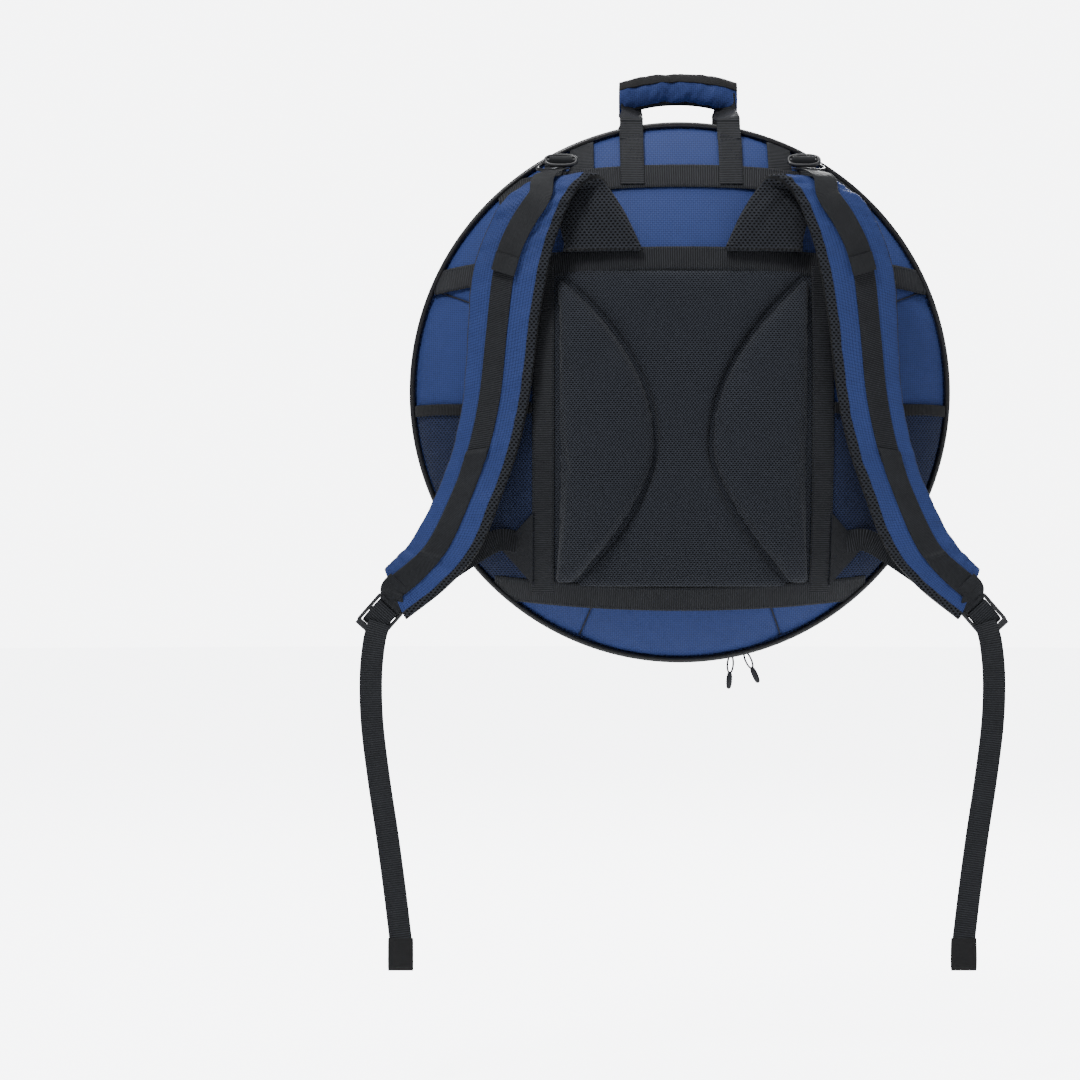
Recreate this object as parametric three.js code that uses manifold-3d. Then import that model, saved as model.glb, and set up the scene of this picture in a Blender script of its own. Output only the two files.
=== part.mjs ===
// Padded round backpack bag for a handpan, hanging upright by its carry handle.
// Millimetres, +Z up, front panel towards -Y, shoulder straps towards +Y, origin at the hand grip.

import * as THREE from "three";
import { mergeVertices } from "three/addons/utils/BufferGeometryUtils.js";
import Module from "manifold-3d";

const wasm = await Module();
wasm.setup();

// Driving sizes
const bagRadius = 290;
const gripHeight = 327;
const gap = 0.3;
const turns = 40;

// Panels, measured from the middle plane between the two piping rings
const pipingRadius = 3;
const pipingPlane = 48;
const panelRadius = bagRadius - 2 * pipingRadius - 0.4;
const plateauRadius = 105;
const backDepth = 90;
const frontDepth = 92;
const cover = 1.2;
const foam = 13.5;
const lining = 1;
const liningIn = cover + foam + 2 * gap;

// Side wall and zip
const wallRadius = bagRadius - pipingRadius;
const wallFoam = 9.5;
const zipPlane = -32;
const wallStart = -18;
const wallEnd = pipingPlane - pipingRadius - 0.4;
const tapeRadius = 284.2;
const coilHalf = 1.8;
const hingeRadius = 291;
const patchHalf = 23.5;

// Webbing
const webWidth = 25;
const webThick = 1.4;
const webFloor = 0.4;
const webTop = webFloor + webThick;

// Back of the bag
const topBandZ = 226;
const topBandBow = 3.8e-4;
const middleBandZ = 136;
const middleBandBow = 2.9e-4;
const bottomBandZ = -220;
const bottomBandBow = -3.1e-4;
const padHalf = 133;
const padTop = 123;
const padFoot = -207;
const padWaist = 27;
const padThick = 7;
const crescentThick = 15;
const shortWebX = 105;
const legX = 52;
const pocketTop = -14;

// Front of the bag
const frontBandZ = 233;
const frontBandBow = 6.2e-4;
const patchWide = 27;
const patchHigh = 24;

// Hardware
const wire = 3.5;
const ringWide = 36;
const ringHigh = 26;
const backRingX = 131;
const backRingZ = 241;
const backRingLean = 0.45;
const frontRingX = 117;
const frontRingZ = 251;
const lockWide = 33;
const lockLong = 38;
const lockThick = 5;

// Handle
const wrapHalf = 64;
const wrapHigh = 19;
const wrapDeep = 15;
const wrapThick = 3;
const gripHalf = 63;
const gripThick = 5;
const gripHigh = 22;

// Straps
const strapThick = 11;
const strapSteps = 26;
const rootEnd = 0.2;
const webAcross = 0.57;
const tailWidth = 24;
const tailThick = 1.6;

// Zip pulls
const sliderAngle = { far: 14.9, near: 11.8 };
const sliderLong = 13;

const colours = {
  navy: "#33456f",
  navyLight: "#3b4f80",
  webbing: "#2b2d31",
  mesh: "#24262c",
  net: "#1f2a45",
  satin: "#18191c",
  foam: "#3a3b3e",
  hardware: "#2f3134",
  rubber: "#1c1d1f",
};

const sides = { left: -1, right: 1 };
const model = new THREE.Group();
model.position.z = -gripHeight;

function signedVolume(position, index) {
  const a = new THREE.Vector3();
  const b = new THREE.Vector3();
  const c = new THREE.Vector3();
  let volume = 0;
  for (let i = 0; i < index.length; i += 3) {
    a.fromBufferAttribute(position, index[i]);
    b.fromBufferAttribute(position, index[i + 1]);
    c.fromBufferAttribute(position, index[i + 2]);
    volume += a.dot(b.cross(c)) / 6;
  }
  return volume;
}

// Shared corners merged, slivers dropped and faces turned outwards.
function closed(geometry) {
  const bare = geometry.clone();
  bare.deleteAttribute("normal");
  bare.deleteAttribute("uv");
  const merged = mergeVertices(bare, 1e-3);
  const source = merged.index.array;
  let index = [];
  for (let i = 0; i < source.length; i += 3) {
    const [a, b, c] = [source[i], source[i + 1], source[i + 2]];
    if (a !== b && b !== c && c !== a) index.push(a, b, c);
  }
  if (signedVolume(merged.attributes.position, index) < 0) index = index.reverse();
  merged.setIndex(index);
  return merged;
}

function toSolid(geometry) {
  const mesh = closed(geometry);
  return new wasm.Manifold(
    new wasm.Mesh({
      numProp: 3,
      vertProperties: new Float32Array(mesh.attributes.position.array),
      triVerts: new Uint32Array(mesh.index.array),
    }),
  );
}

function toGeometry(solid) {
  const mesh = solid.getMesh();
  const geometry = new THREE.BufferGeometry();
  geometry.setAttribute("position", new THREE.BufferAttribute(mesh.vertProperties, 3));
  geometry.setIndex(new THREE.BufferAttribute(mesh.triVerts, 1));
  return geometry;
}

function addNode(name, geometry, colour, roughness = 0.9, metalness = 0) {
  const look = new THREE.MeshStandardMaterial({ color: colours[colour], roughness, metalness });
  const node = new THREE.Mesh(closed(geometry), look);
  node.name = name;
  model.add(node);
  return node;
}

// Dome of a panel: flat plateau, then a convex fall to the piping.
function domeHeight(radius, depth) {
  const fall = Math.max(0, (radius - plateauRadius) / (panelRadius - plateauRadius));
  return depth * Math.max(0, 1 - fall * fall) ** 0.75;
}

function domeProfile(depth) {
  const stations = [0, 0.35, 0.6, 0.8, 0.93, 1];
  const points = [new THREE.Vector2(0, depth)];
  for (const station of stations) {
    const radius = plateauRadius + station * (panelRadius - plateauRadius);
    points.push(new THREE.Vector2(radius, domeHeight(radius, depth)));
  }
  return points;
}

function edgeNormal(from, to) {
  return new THREE.Vector2(from.y - to.y, to.x - from.x).normalize();
}

function offsetProfile(points, distance) {
  return points.map((point, i) => {
    const before = i ? edgeNormal(points[i - 1], point) : new THREE.Vector2(0, 1);
    const after = i < points.length - 1 ? edgeNormal(point, points[i + 1]) : before;
    const middle = before.clone().add(after).normalize();
    return point.clone().addScaledVector(middle, distance / middle.dot(before));
  });
}

// A lathe round the bag's Y axis; side is 1 at the back and -1 at the front.
function lathe(profile, side = 1) {
  const points = profile.map((point) => new THREE.Vector2(point.x, side * point.y));
  return new THREE.LatheGeometry(points, turns);
}

function shell(side, low, high) {
  const depth = side > 0 ? backDepth : frontDepth;
  const profile = domeProfile(depth);
  const outer = offsetProfile(profile, high);
  const inner = offsetProfile(profile, low).reverse();
  const plane = new THREE.Vector2(0, pipingPlane);
  return lathe([...outer, ...inner].map((point) => point.add(plane)), side);
}

function ring(corners) {
  const points = corners.map(([radius, y]) => new THREE.Vector2(radius, y));
  return lathe([...points, points[0].clone()]);
}

function outlineOf(points) {
  return new THREE.Shape(points.map(([x, z]) => new THREE.Vector2(x, z)));
}

// A prism along Y over an outline drawn in X and Z.
function prism(shape, from, to, segments = 6) {
  const solid = new THREE.ExtrudeGeometry(shape, {
    depth: to - from,
    bevelEnabled: false,
    curveSegments: segments,
  });
  return solid.rotateX(Math.PI / 2).translate(0, to, 0);
}

function cutter(side, shape) {
  return toSolid(side > 0 ? prism(shape, 5, 200) : prism(shape, -200, -5));
}

// The disc that keeps every sewn piece inside its panel's piping.
function rimDisc() {
  return toSolid(new THREE.CylinderGeometry(panelRadius, panelRadius, 400, turns));
}

// A piece sewn onto a panel: the panel's layer cut to an outline, less its neighbours.
function sewn(side, shape, low, high, neighbours = []) {
  const layer = toSolid(shell(side, low, high)).intersect(rimDisc());
  let piece = layer.intersect(cutter(side, shape));
  for (const neighbour of neighbours) piece = piece.subtract(cutter(side, neighbour));
  return piece;
}

function bandShape(centre, bow, half, width) {
  const steps = 10;
  const upper = [];
  const lower = [];
  for (let i = 0; i <= steps; i += 1) {
    const x = half * ((2 * i) / steps - 1);
    const z = centre - bow * x * x;
    upper.push([x, z + width / 2]);
    lower.unshift([x, z - width / 2]);
  }
  return outlineOf([...upper, ...lower]);
}

function rectangle(left, right, foot, top) {
  return outlineOf([
    [left, foot],
    [right, foot],
    [right, top],
    [left, top],
  ]);
}

function upright(side, centre, width, foot, top) {
  const x = side * centre;
  return rectangle(x - width / 2, x + width / 2, foot, top);
}

// A box bent by a function of its three fractions: across, through and along.
function bent(across, along, place) {
  const box = new THREE.BoxGeometry(1, 1, 1, across, 1, along);
  const position = box.attributes.position;
  for (let i = 0; i < position.count; i += 1) {
    const point = place(position.getX(i) + 0.5, position.getY(i) + 0.5, position.getZ(i) + 0.5);
    position.setXYZ(i, point.x, point.y, point.z);
  }
  return box;
}

// A flat strap along a curve, its width held along one direction.
function ribbon(points, width, thick, steps, wide) {
  const route = new THREE.CatmullRomCurve3(points.map(([x, y, z]) => new THREE.Vector3(x, y, z)));
  return bent(1, steps, (u, v, w) => {
    const tangent = route.getTangentAt(w);
    const normal = wide.clone().cross(tangent).normalize();
    const across = tangent.clone().cross(normal).normalize();
    return route
      .getPointAt(w)
      .addScaledVector(across, (u - 0.5) * width)
      .addScaledVector(normal, (v - 0.5) * thick);
  });
}

// Placement on a panel: local Y out of the surface, local Z up along it.
function seat(side, x, z, lift) {
  const depth = side > 0 ? backDepth : frontDepth;
  const step = 0.5;
  const height = (px, pz) => side * (pipingPlane + domeHeight(Math.hypot(px, pz), depth));
  const slopeX = (height(x + step, z) - height(x - step, z)) / (2 * step);
  const slopeZ = (height(x, z + step) - height(x, z - step)) / (2 * step);
  const out = new THREE.Vector3(-slopeX, 1, -slopeZ).normalize().multiplyScalar(side);
  const up = new THREE.Vector3(0, 0, 1).addScaledVector(out, -out.z).normalize();
  const across = out.clone().cross(up);
  const origin = new THREE.Vector3(x, height(x, z), z).addScaledVector(out, lift);
  return new THREE.Matrix4().makeBasis(across, out, up).setPosition(origin);
}

// --- padded shell -----------------------------------------------------------

function makePanels() {
  for (const [name, side] of [["back", 1], ["front", -1]]) {
    addNode(`${name}_cover`, shell(side, -cover, 0), "navy");
    addNode(`${name}_foam`, shell(side, -cover - foam - gap, -cover - gap), "foam");
  }
  addNode("front_lining", shell(-1, -liningIn - lining, -liningIn), "satin", 0.5);
}

function makeTrayLining() {
  const profile = domeProfile(backDepth);
  const plane = new THREE.Vector2(0, pipingPlane);
  const outer = offsetProfile(profile, -liningIn).map((point) => point.add(plane));
  const inner = offsetProfile(profile, -liningIn - lining).map((point) => point.add(plane));
  const wall = wallRadius - cover - wallFoam - 2 * gap;
  const corner = 37.6;
  const points = [
    ...outer,
    new THREE.Vector2(wall, corner),
    new THREE.Vector2(wall, wallStart + 2),
    new THREE.Vector2(wall - lining, wallStart + 2),
    new THREE.Vector2(wall - lining, corner - lining),
    ...inner.reverse(),
  ];
  addNode("tray_lining", lathe(points), "satin", 0.5);
}

function makeWall() {
  const outer = wallRadius - cover - gap;
  addNode(
    "gusset_cover",
    ring([
      [wallRadius - cover, wallStart],
      [wallRadius, wallStart],
      [wallRadius, wallEnd],
      [wallRadius - cover, wallEnd],
    ]),
    "navy",
  );
  addNode(
    "gusset_foam",
    ring([
      [outer - wallFoam, wallStart + 2],
      [outer, wallStart + 2],
      [outer, 38.5],
      [outer - wallFoam, 38.5],
    ]),
    "foam",
  );
}

function makePiping() {
  const sectionSides = 6;
  for (const [name, y] of [["back_piping", pipingPlane], ["front_piping", -pipingPlane]]) {
    const corners = [];
    for (let i = 0; i < sectionSides; i += 1) {
      const angle = ((i + 0.5) / sectionSides) * 2 * Math.PI;
      corners.push([
        bagRadius - pipingRadius + pipingRadius * Math.cos(angle),
        y + pipingRadius * Math.sin(angle),
      ]);
    }
    addNode(name, ring(corners), "rubber", 0.6);
  }
}

// Each half of the zip is a flat tape with a raised coil along its free edge.
function makeZipHalf(name, start, end) {
  const coilEdge = end + Math.sign(start - end) * coilHalf;
  const coilIn = tapeRadius - 0.8;
  const coilOut = wallRadius - 0.2;
  addNode(
    name,
    ring([
      [tapeRadius, start],
      [tapeRadius + cover, start],
      [tapeRadius + cover, coilEdge],
      [coilOut, coilEdge],
      [coilOut, end],
      [coilIn, end],
      [coilIn, coilEdge],
      [tapeRadius, coilEdge],
    ]),
    "webbing",
  );
}

function makeHingePatch() {
  const patch = toSolid(
    ring([
      [wallRadius + 0.4, zipPlane + 1],
      [wallRadius + 1.8, zipPlane + 1],
      [wallRadius + 1.8, -6],
      [wallRadius + 0.4, -6],
    ]),
  );
  const zone = new THREE.BoxGeometry(2 * patchHalf, 60, 40).translate(0, -20, -bagRadius);
  addNode("hinge_patch", toGeometry(patch.intersect(toSolid(zone))), "rubber", 0.7);
}

// --- webbing, pads and pockets on the back ------------------------------------

const grown = webWidth + 2 * gap;
const backBands = {
  top: bandShape(topBandZ, topBandBow, 240, webWidth),
  middle: bandShape(middleBandZ, middleBandBow, 300, webWidth),
  bottom: bandShape(bottomBandZ, bottomBandBow, 240, webWidth),
};
const backBandRoom = [
  bandShape(topBandZ, topBandBow, 240, grown),
  bandShape(middleBandZ, middleBandBow, 300, grown),
  bandShape(bottomBandZ, bottomBandBow, 240, grown),
];

// A webbing tab folded round a D-ring's bar, running down into its band.
function ringTab(side, x, z) {
  const inner = wire / 2 + 0.5;
  const outer = inner + webThick;
  const profile = new THREE.Shape();
  profile.moveTo(-outer, -17);
  profile.lineTo(-outer, 0);
  profile.absarc(0, 0, outer, Math.PI, 0, true);
  profile.lineTo(outer, -6);
  profile.lineTo(inner, -6);
  profile.lineTo(inner, 0);
  profile.absarc(0, 0, inner, 0, Math.PI, false);
  profile.lineTo(-inner, -17);
  const width = webWidth - 3;
  const loop = new THREE.ExtrudeGeometry(profile, {
    depth: width,
    bevelEnabled: false,
    curveSegments: 5,
  });
  const turned = new THREE.Matrix4().makeBasis(
    new THREE.Vector3(0, 1, 0),
    new THREE.Vector3(0, 0, 1),
    new THREE.Vector3(1, 0, 0),
  );
  loop.applyMatrix4(turned).translate(-width / 2, 0, 0);
  return toSolid(loop.applyMatrix4(seat(side, x, z, outer + webFloor)));
}

// The tab's two layers sewn flat under the ring.
function ringBed(side, x, z) {
  const bed = upright(Math.sign(x), Math.abs(x), webWidth - 3, z - 24, z - 7);
  return sewn(side, bed, webFloor, webTop + 1.3);
}

function makeBackBands() {
  let top = sewn(1, backBands.top, webFloor, webTop);
  for (const side of [-1, 1]) {
    const short = upright(side, shortWebX, webWidth, topBandZ - 5, 300);
    top = top.add(sewn(1, short, webFloor, webTop));
    top = top.add(ringBed(1, side * backRingX, backRingZ));
    top = top.add(ringTab(1, side * backRingX, backRingZ));
  }
  addNode("back_top_band", toGeometry(top), "webbing");
  addNode("back_middle_band", toGeometry(sewn(1, backBands.middle, webFloor, webTop)), "webbing");
  addNode("back_bottom_band", toGeometry(sewn(1, backBands.bottom, webFloor, webTop)), "webbing");
}

function makeHandleLegs(name, side, bandRoom, foot) {
  for (const [hand, sign] of Object.entries(sides)) {
    const leg = upright(sign, legX, webWidth, foot, 300);
    const piece = sewn(side, leg, webFloor, webTop, bandRoom);
    addNode(`${name}_${hand}_handle_leg`, toGeometry(piece), "webbing");
  }
}

// The crescent's inner edge bulges from the pad's corners to the waist.
function crescentShape(side, inset) {
  const shape = new THREE.Shape();
  const edge = padHalf - inset;
  const middle = (padTop + padFoot) / 2;
  shape.moveTo(side * edge, padTop - 4 - inset);
  shape.lineTo(side * (edge - 12), padTop - 6 - inset);
  shape.bezierCurveTo(
    side * (padWaist + 42 + inset),
    padTop - 52 - inset,
    side * (padWaist + inset),
    middle + 46,
    side * (padWaist + inset),
    middle - 18,
  );
  shape.bezierCurveTo(
    side * (padWaist + inset),
    middle - 70,
    side * (padWaist + 45 + inset),
    padFoot + 30 + inset,
    side * (edge - 22),
    padFoot + 4 + inset,
  );
  shape.lineTo(side * edge, padFoot + 4 + inset);
  return shape;
}

function makePads() {
  const room = [-1, 1].map((side) => crescentShape(side, -0.8));
  const centre = sewn(1, rectangle(-padHalf + 1, padHalf - 1, padFoot, padTop), webFloor, padThick, [
    ...room,
    ...backBandRoom,
  ]);
  const pieces = centre.decompose().sort((a, b) => b.volume() - a.volume());
  addNode("centre_pad", toGeometry(pieces[0]), "mesh");
  for (const [hand, side] of Object.entries(sides)) {
    const pad = sewn(1, crescentShape(side, 0.5), webFloor, crescentThick, backBandRoom);
    addNode(`${hand}_crescent_pad`, toGeometry(pad), "mesh");
    const web = upright(side, padHalf + 0.5 + webWidth / 2, webWidth - 4, padFoot - 4, padTop + 10);
    addNode(`${hand}_pad_webbing`, toGeometry(sewn(1, web, webFloor, webTop, backBandRoom)), "webbing");
  }
}

function tabShape(side, spread) {
  const inner = padHalf + 13 + webWidth / 2 - spread;
  return outlineOf([
    [side * inner, -129 + 2 * spread],
    [side * (192 + 1.4 * spread), -165],
    [side * inner, -204 - 2 * spread],
  ]);
}

function makePockets() {
  for (const [hand, side] of Object.entries(sides)) {
    const inner = side * (padHalf + 13 + webWidth / 2);
    const shape = outlineOf([
      [inner, pocketTop],
      [side * 300, pocketTop],
      [side * 300, -230],
      [inner, -230],
    ]);
    const net = sewn(1, shape, webFloor, webTop, [...backBandRoom, tabShape(side, 4 * gap)]);
    const pieces = net.decompose().sort((a, b) => b.volume() - a.volume());
    addNode(`${hand}_side_pocket`, toGeometry(pieces[0]), "net");
    const tab = sewn(1, tabShape(side, -gap), webFloor, webTop + 0.8, backBandRoom);
    addNode(`${hand}_corner_tab`, toGeometry(tab), "webbing");
  }
}

// --- front ------------------------------------------------------------------

function makeFrontBand() {
  let band = sewn(-1, bandShape(frontBandZ, frontBandBow, 230, webWidth), webFloor, webTop);
  for (const side of [-1, 1]) {
    band = band.add(ringBed(-1, side * frontRingX, frontRingZ));
    band = band.add(ringTab(-1, side * frontRingX, frontRingZ));
  }
  addNode("front_band", toGeometry(band), "webbing");
  const label = rectangle(-patchWide / 2, patchWide / 2, frontBandZ - patchHigh / 2, frontBandZ + patchHigh / 2);
  addNode("label_patch", toGeometry(sewn(-1, label, webTop + gap, webTop + 1.5)), "rubber", 0.7);
}

// --- rings, buckles and locks -----------------------------------------------

// A D: a straight bar on top, rounded below; its bar's middle is the origin.
function ringOutline(inset) {
  const shape = new THREE.Shape();
  const half = ringWide / 2 - inset;
  const top = wire / 2 - inset;
  const foot = top - ringHigh + 2 * inset;
  const round = 13 - inset;
  shape.moveTo(-half, top);
  shape.lineTo(-half, foot + round);
  shape.absarc(-half + round, foot + round, round, Math.PI, 1.5 * Math.PI, false);
  shape.absarc(half - round, foot + round, round, 1.5 * Math.PI, 2 * Math.PI, false);
  shape.lineTo(half, top);
  return shape;
}

function dRing() {
  const bevel = 0.9;
  const shape = ringOutline(bevel);
  shape.holes.push(ringOutline(wire - bevel));
  const body = new THREE.ExtrudeGeometry(shape, {
    depth: wire - 2 * bevel,
    bevelSize: bevel,
    bevelThickness: bevel,
    bevelSegments: 1,
    curveSegments: 3,
  });
  return body.translate(0, 0, bevel - wire / 2).rotateX(Math.PI / 2);
}

function makeRings() {
  const lift = wire / 2 + 0.5 + webThick + webFloor;
  for (const [hand, side] of Object.entries(sides)) {
    const seated = seat(1, side * backRingX, backRingZ, lift);
    const back = dRing().rotateX(backRingLean).applyMatrix4(seated);
    addNode(`back_${hand}_d_ring`, back, "hardware", 0.35, 0.6);
    const front = dRing().applyMatrix4(seat(-1, side * frontRingX, frontRingZ, lift));
    addNode(`front_${hand}_d_ring`, front, "hardware", 0.35, 0.6);
  }
}

// --- carry handle -----------------------------------------------------------

// Two legs rise over the rim and carry a flat grip; side 1 is the tray's loop, -1 the lid's.
function makeLoop(name, side) {
  const footY = side * (pipingPlane + 2);
  const footZ = 289.5;
  const gripY = side * (gripThick / 2 + 1);
  const foot = new THREE.Vector3(0, footY, footZ);
  const bend = new THREE.Vector3(0, side * 9, 305);
  const top = new THREE.Vector3(0, gripY, gripHeight - 4);
  let loop = toSolid(
    new THREE.BoxGeometry(2 * gripHalf, gripThick, gripHigh).translate(0, gripY, gripHeight),
  );
  for (const sign of [-1, 1]) {
    const points = [foot, bend, top].map((point) => [sign * legX, point.y, point.z]);
    const leg = ribbon(points, webWidth, 2, 5, new THREE.Vector3(1, 0, 0));
    loop = loop.add(toSolid(leg));
  }
  addNode(name, toGeometry(loop), "webbing");
}

// A padded sleeve round both grips, open along its underside where the legs come in.
function makeWrap() {
  const shape = new THREE.Shape();
  const open = 0.95;
  const steps = 9;
  const arc = (high, deep, from, to) => {
    const points = [];
    for (let i = 0; i <= steps; i += 1) {
      const angle = from + ((to - from) * i) / steps;
      points.push([deep * Math.sin(angle), -high * Math.cos(angle)]);
    }
    return points;
  };
  const outer = arc(wrapHigh, wrapDeep, open, 2 * Math.PI - open);
  const inner = arc(wrapHigh - wrapThick, wrapDeep - wrapThick, 2 * Math.PI - open, open);
  for (const [y, z] of [...outer, ...inner]) {
    if (shape.curves.length || shape.currentPoint.lengthSq()) shape.lineTo(y, z);
    else shape.moveTo(y, z);
  }
  const sleeve = new THREE.ExtrudeGeometry(shape, { depth: 2 * wrapHalf, bevelEnabled: false });
  const turned = new THREE.Matrix4().makeBasis(
    new THREE.Vector3(0, 1, 0),
    new THREE.Vector3(0, 0, 1),
    new THREE.Vector3(1, 0, 0),
  );
  sleeve.applyMatrix4(turned).translate(-wrapHalf, 0, gripHeight);
  addNode("handle_wrap", sleeve, "navyLight");
}

// --- shoulder straps --------------------------------------------------------

// Both edges of a strap pad's middle surface, from its sewn root over the fold to its tip.
const strapInner = [
  [45, 139, 150],
  [61, 135, 184],
  [77, 132, 209],
  [88, 138, 221],
  [103, 147, 216],
  [117, 151, 198],
  [130, 151, 167],
  [140, 149, 133],
  [151, 146, 72],
  [160, 143, 0],
  [172, 140, -58],
  [190, 134, -111],
  [214, 126, -169],
  [248, 117, -208],
  [291, 108, -242],
];
const strapOuter = [
  [124, 130, 150],
  [132, 122, 180],
  [142, 117, 201],
  [152, 121, 213],
  [165, 130, 212],
  [190, 136, 193],
  [210, 135, 155],
  [222, 130, 111],
  [226, 122, 48],
  [231, 117, -14],
  [243, 113, -68],
  [262, 108, -116],
  [285, 104, -158],
  [300, 101, -175],
  [314, 98, -189],
];

function strapCurve(points, side) {
  return new THREE.CatmullRomCurve3(points.map(([x, y, z]) => new THREE.Vector3(side * x, y, z)));
}

function strapMap(side) {
  const inner = strapCurve(strapInner, side);
  const outer = strapCurve(strapOuter, side);
  const at = (along, across) => inner.getPoint(along).lerp(outer.getPoint(along), across);
  return (along, across, lift) => {
    const step = 2e-3;
    const low = Math.max(0, along - step);
    const high = Math.min(1, along + step);
    const tangent = at(high, across).sub(at(low, across));
    const width = outer.getPoint(along).sub(inner.getPoint(along));
    const out = width.clone().cross(tangent).normalize().multiplyScalar(side);
    return { point: at(along, across).addScaledVector(out, lift), width: width.length() };
  };
}

function strapSlab(side, from, to, steps) {
  const place = strapMap(side);
  return bent(3, steps, (u, v, w) => place(from + (to - from) * w, u, (v - 0.5) * strapThick).point);
}

// Webbing lying on the strap's outer face, its middle at a fraction of the strap's width.
function strapWebbing(side, from, to, steps, floor) {
  const place = strapMap(side);
  return bent(1, steps, (u, v, w) => {
    const along = from + (to - from) * w;
    const share = webWidth / place(along, webAcross, 0).width;
    return place(along, webAcross + (u - 0.5) * share, floor + v * webThick).point;
  });
}

// From the adjuster over the fold and down the strap's face to its sewn end.
function lifterWebbing(side) {
  const place = strapMap(side);
  const lift = strapThick / 2 + 2.5;
  const points = [
    [side * 130, 91, 233.5],
    [side * 131, 112, 231],
    [side * 137, 131, 228],
    [side * 147, 144.5, 219],
  ];
  for (const [along, across] of [[0.35, 0.45], [0.4, 0.5], [0.45, 0.55], [0.5, webAcross]]) {
    points.push(place(along, across, lift).point.toArray());
  }
  return ribbon(points, webWidth, webThick, 14, new THREE.Vector3(side * 0.97, -0.2, -0.12));
}

function lockFrame(side) {
  const along = new THREE.Vector3(side * 0.66, -0.08, -0.747).normalize();
  const across = new THREE.Vector3(side * 0.75, -0.1, 0.66).normalize();
  const out = along.clone().cross(across).normalize();
  if (out.y < 0) out.negate();
  const wide = along.clone().cross(out);
  return { along, out, wide, centre: new THREE.Vector3(side * 319, 101, -239) };
}

// A ladder lock: a plate with two slots across it.
function ladderLock(side) {
  const half = lockWide / 2;
  const long = lockLong / 2;
  const plate = rectangle(-half, half, -long, long);
  for (const [from, to] of [[-long + 5, -3], [3, long - 5]]) {
    plate.holes.push(rectangle(-half + 3, half - 3, from, to));
  }
  const body = new THREE.ExtrudeGeometry(plate, { depth: lockThick, bevelEnabled: false });
  const { along, out, wide, centre } = lockFrame(side);
  const frame = new THREE.Matrix4().makeBasis(wide, along.clone().negate(), out).setPosition(centre);
  return body.translate(0, 0, -lockThick / 2).applyMatrix4(frame);
}

// The loose end hangs from the lock; its keeper is the doubled end.
function makeTail(hand, side) {
  const points = [
    [side * 319, 108, -246],
    [side * 324, 113, -262],
    [side * 328, 113, -300],
    [side * 327, 111, -350],
    [side * 320, 109, -410],
    [side * 311, 108, -470],
    [side * 303, 107, -530],
    [side * 297, 107, -580],
  ];
  const wide = new THREE.Vector3(1, 0, 0);
  addNode(`${hand}_tail`, ribbon(points, tailWidth, tailThick, 30, wide), "webbing");
  const end = points[points.length - 1];
  const keeper = new THREE.BoxGeometry(webWidth + 2, 6, 34).translate(end[0], end[1], end[2] - 18.6);
  addNode(`${hand}_tail_keeper`, keeper, "webbing");
}

function makeStraps() {
  for (const [hand, side] of Object.entries(sides)) {
    addNode(`${hand}_strap_root`, strapSlab(side, 0, rootEnd - 0.002, 7), "mesh");
    addNode(`${hand}_strap_pad`, strapSlab(side, rootEnd + 0.002, 1, strapSteps), "navyLight");
    const floor = strapThick / 2 + 2 * gap;
    const lower = strapWebbing(side, 0.515, 1, 20, floor);
    addNode(`${hand}_strap_webbing`, lower, "webbing");
    addNode(`${hand}_lifter_webbing`, lifterWebbing(side), "webbing");
    addNode(`${hand}_ladder_lock`, ladderLock(side), "hardware", 0.4, 0.1);
    makeTail(hand, side);
    const tether = [
      [side * 198, 98, -158],
      [side * 240, 94, -186],
      [side * 280, 93, -214],
      [side * 306, 94, -226],
    ];
    const across = new THREE.Vector3(side * 0.6, 0, 0.8);
    addNode(`${hand}_tether`, ribbon(tether, webWidth - 2, webThick, 8, across), "webbing");
  }
}

// The lifter's adjuster: an oval ring with a bar across, lying on the lifter beside the D-ring.
function makeAdjusters() {
  for (const [hand, side] of Object.entries(sides)) {
    const oval = new THREE.Shape();
    oval.absellipse(0, 0, 18, 9, 0, 2 * Math.PI, false);
    for (const [low, high] of [[-5.5, -1.5], [1.5, 5.5]]) oval.holes.push(rectangle(-13, 13, low, high));
    const body = new THREE.ExtrudeGeometry(oval, {
      depth: 3.4,
      bevelEnabled: false,
      curveSegments: 5,
    });
    const turned = new THREE.Matrix4().makeRotationX(-0.9);
    body.applyMatrix4(turned).translate(side * 128, 110, 240.5);
    addNode(`${hand}_lifter_adjuster`, body, "hardware", 0.4, 0.1);
  }
}

// --- zip sliders and pulls --------------------------------------------------

function rimPoint(angleDegrees, radius) {
  const angle = THREE.MathUtils.degToRad(angleDegrees);
  return new THREE.Vector3(-radius * Math.sin(angle), zipPlane + 1.5, -radius * Math.cos(angle));
}

function makeSliders() {
  const grip = [
    [0, 0],
    [1.3, 0],
    [1.3, 17],
    [3.4, 18],
    [3.4, 36],
    [2.4, 38],
    [0, 38],
  ].map(([radius, along]) => new THREE.Vector2(radius, along));
  const lean = { far: 24, near: -4 };
  for (const [place, angle] of Object.entries(sliderAngle)) {
    const plate = new THREE.BoxGeometry(sliderLong, 10, 3.2);
    const at = rimPoint(angle, wallRadius + 2.1);
    plate.rotateY(THREE.MathUtils.degToRad(angle)).translate(at.x, at.y, at.z);
    addNode(`zip_slider_${place}`, plate, "hardware", 0.4, 0.5);
    const pull = new THREE.LatheGeometry(grip, 8);
    const root = rimPoint(angle, wallRadius + 4.6);
    pull.rotateX(-Math.PI / 2).rotateY(THREE.MathUtils.degToRad(lean[place]));
    pull.translate(root.x, root.y, root.z);
    addNode(`zip_pull_${place}`, pull, "rubber", 0.7);
  }
}

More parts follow.
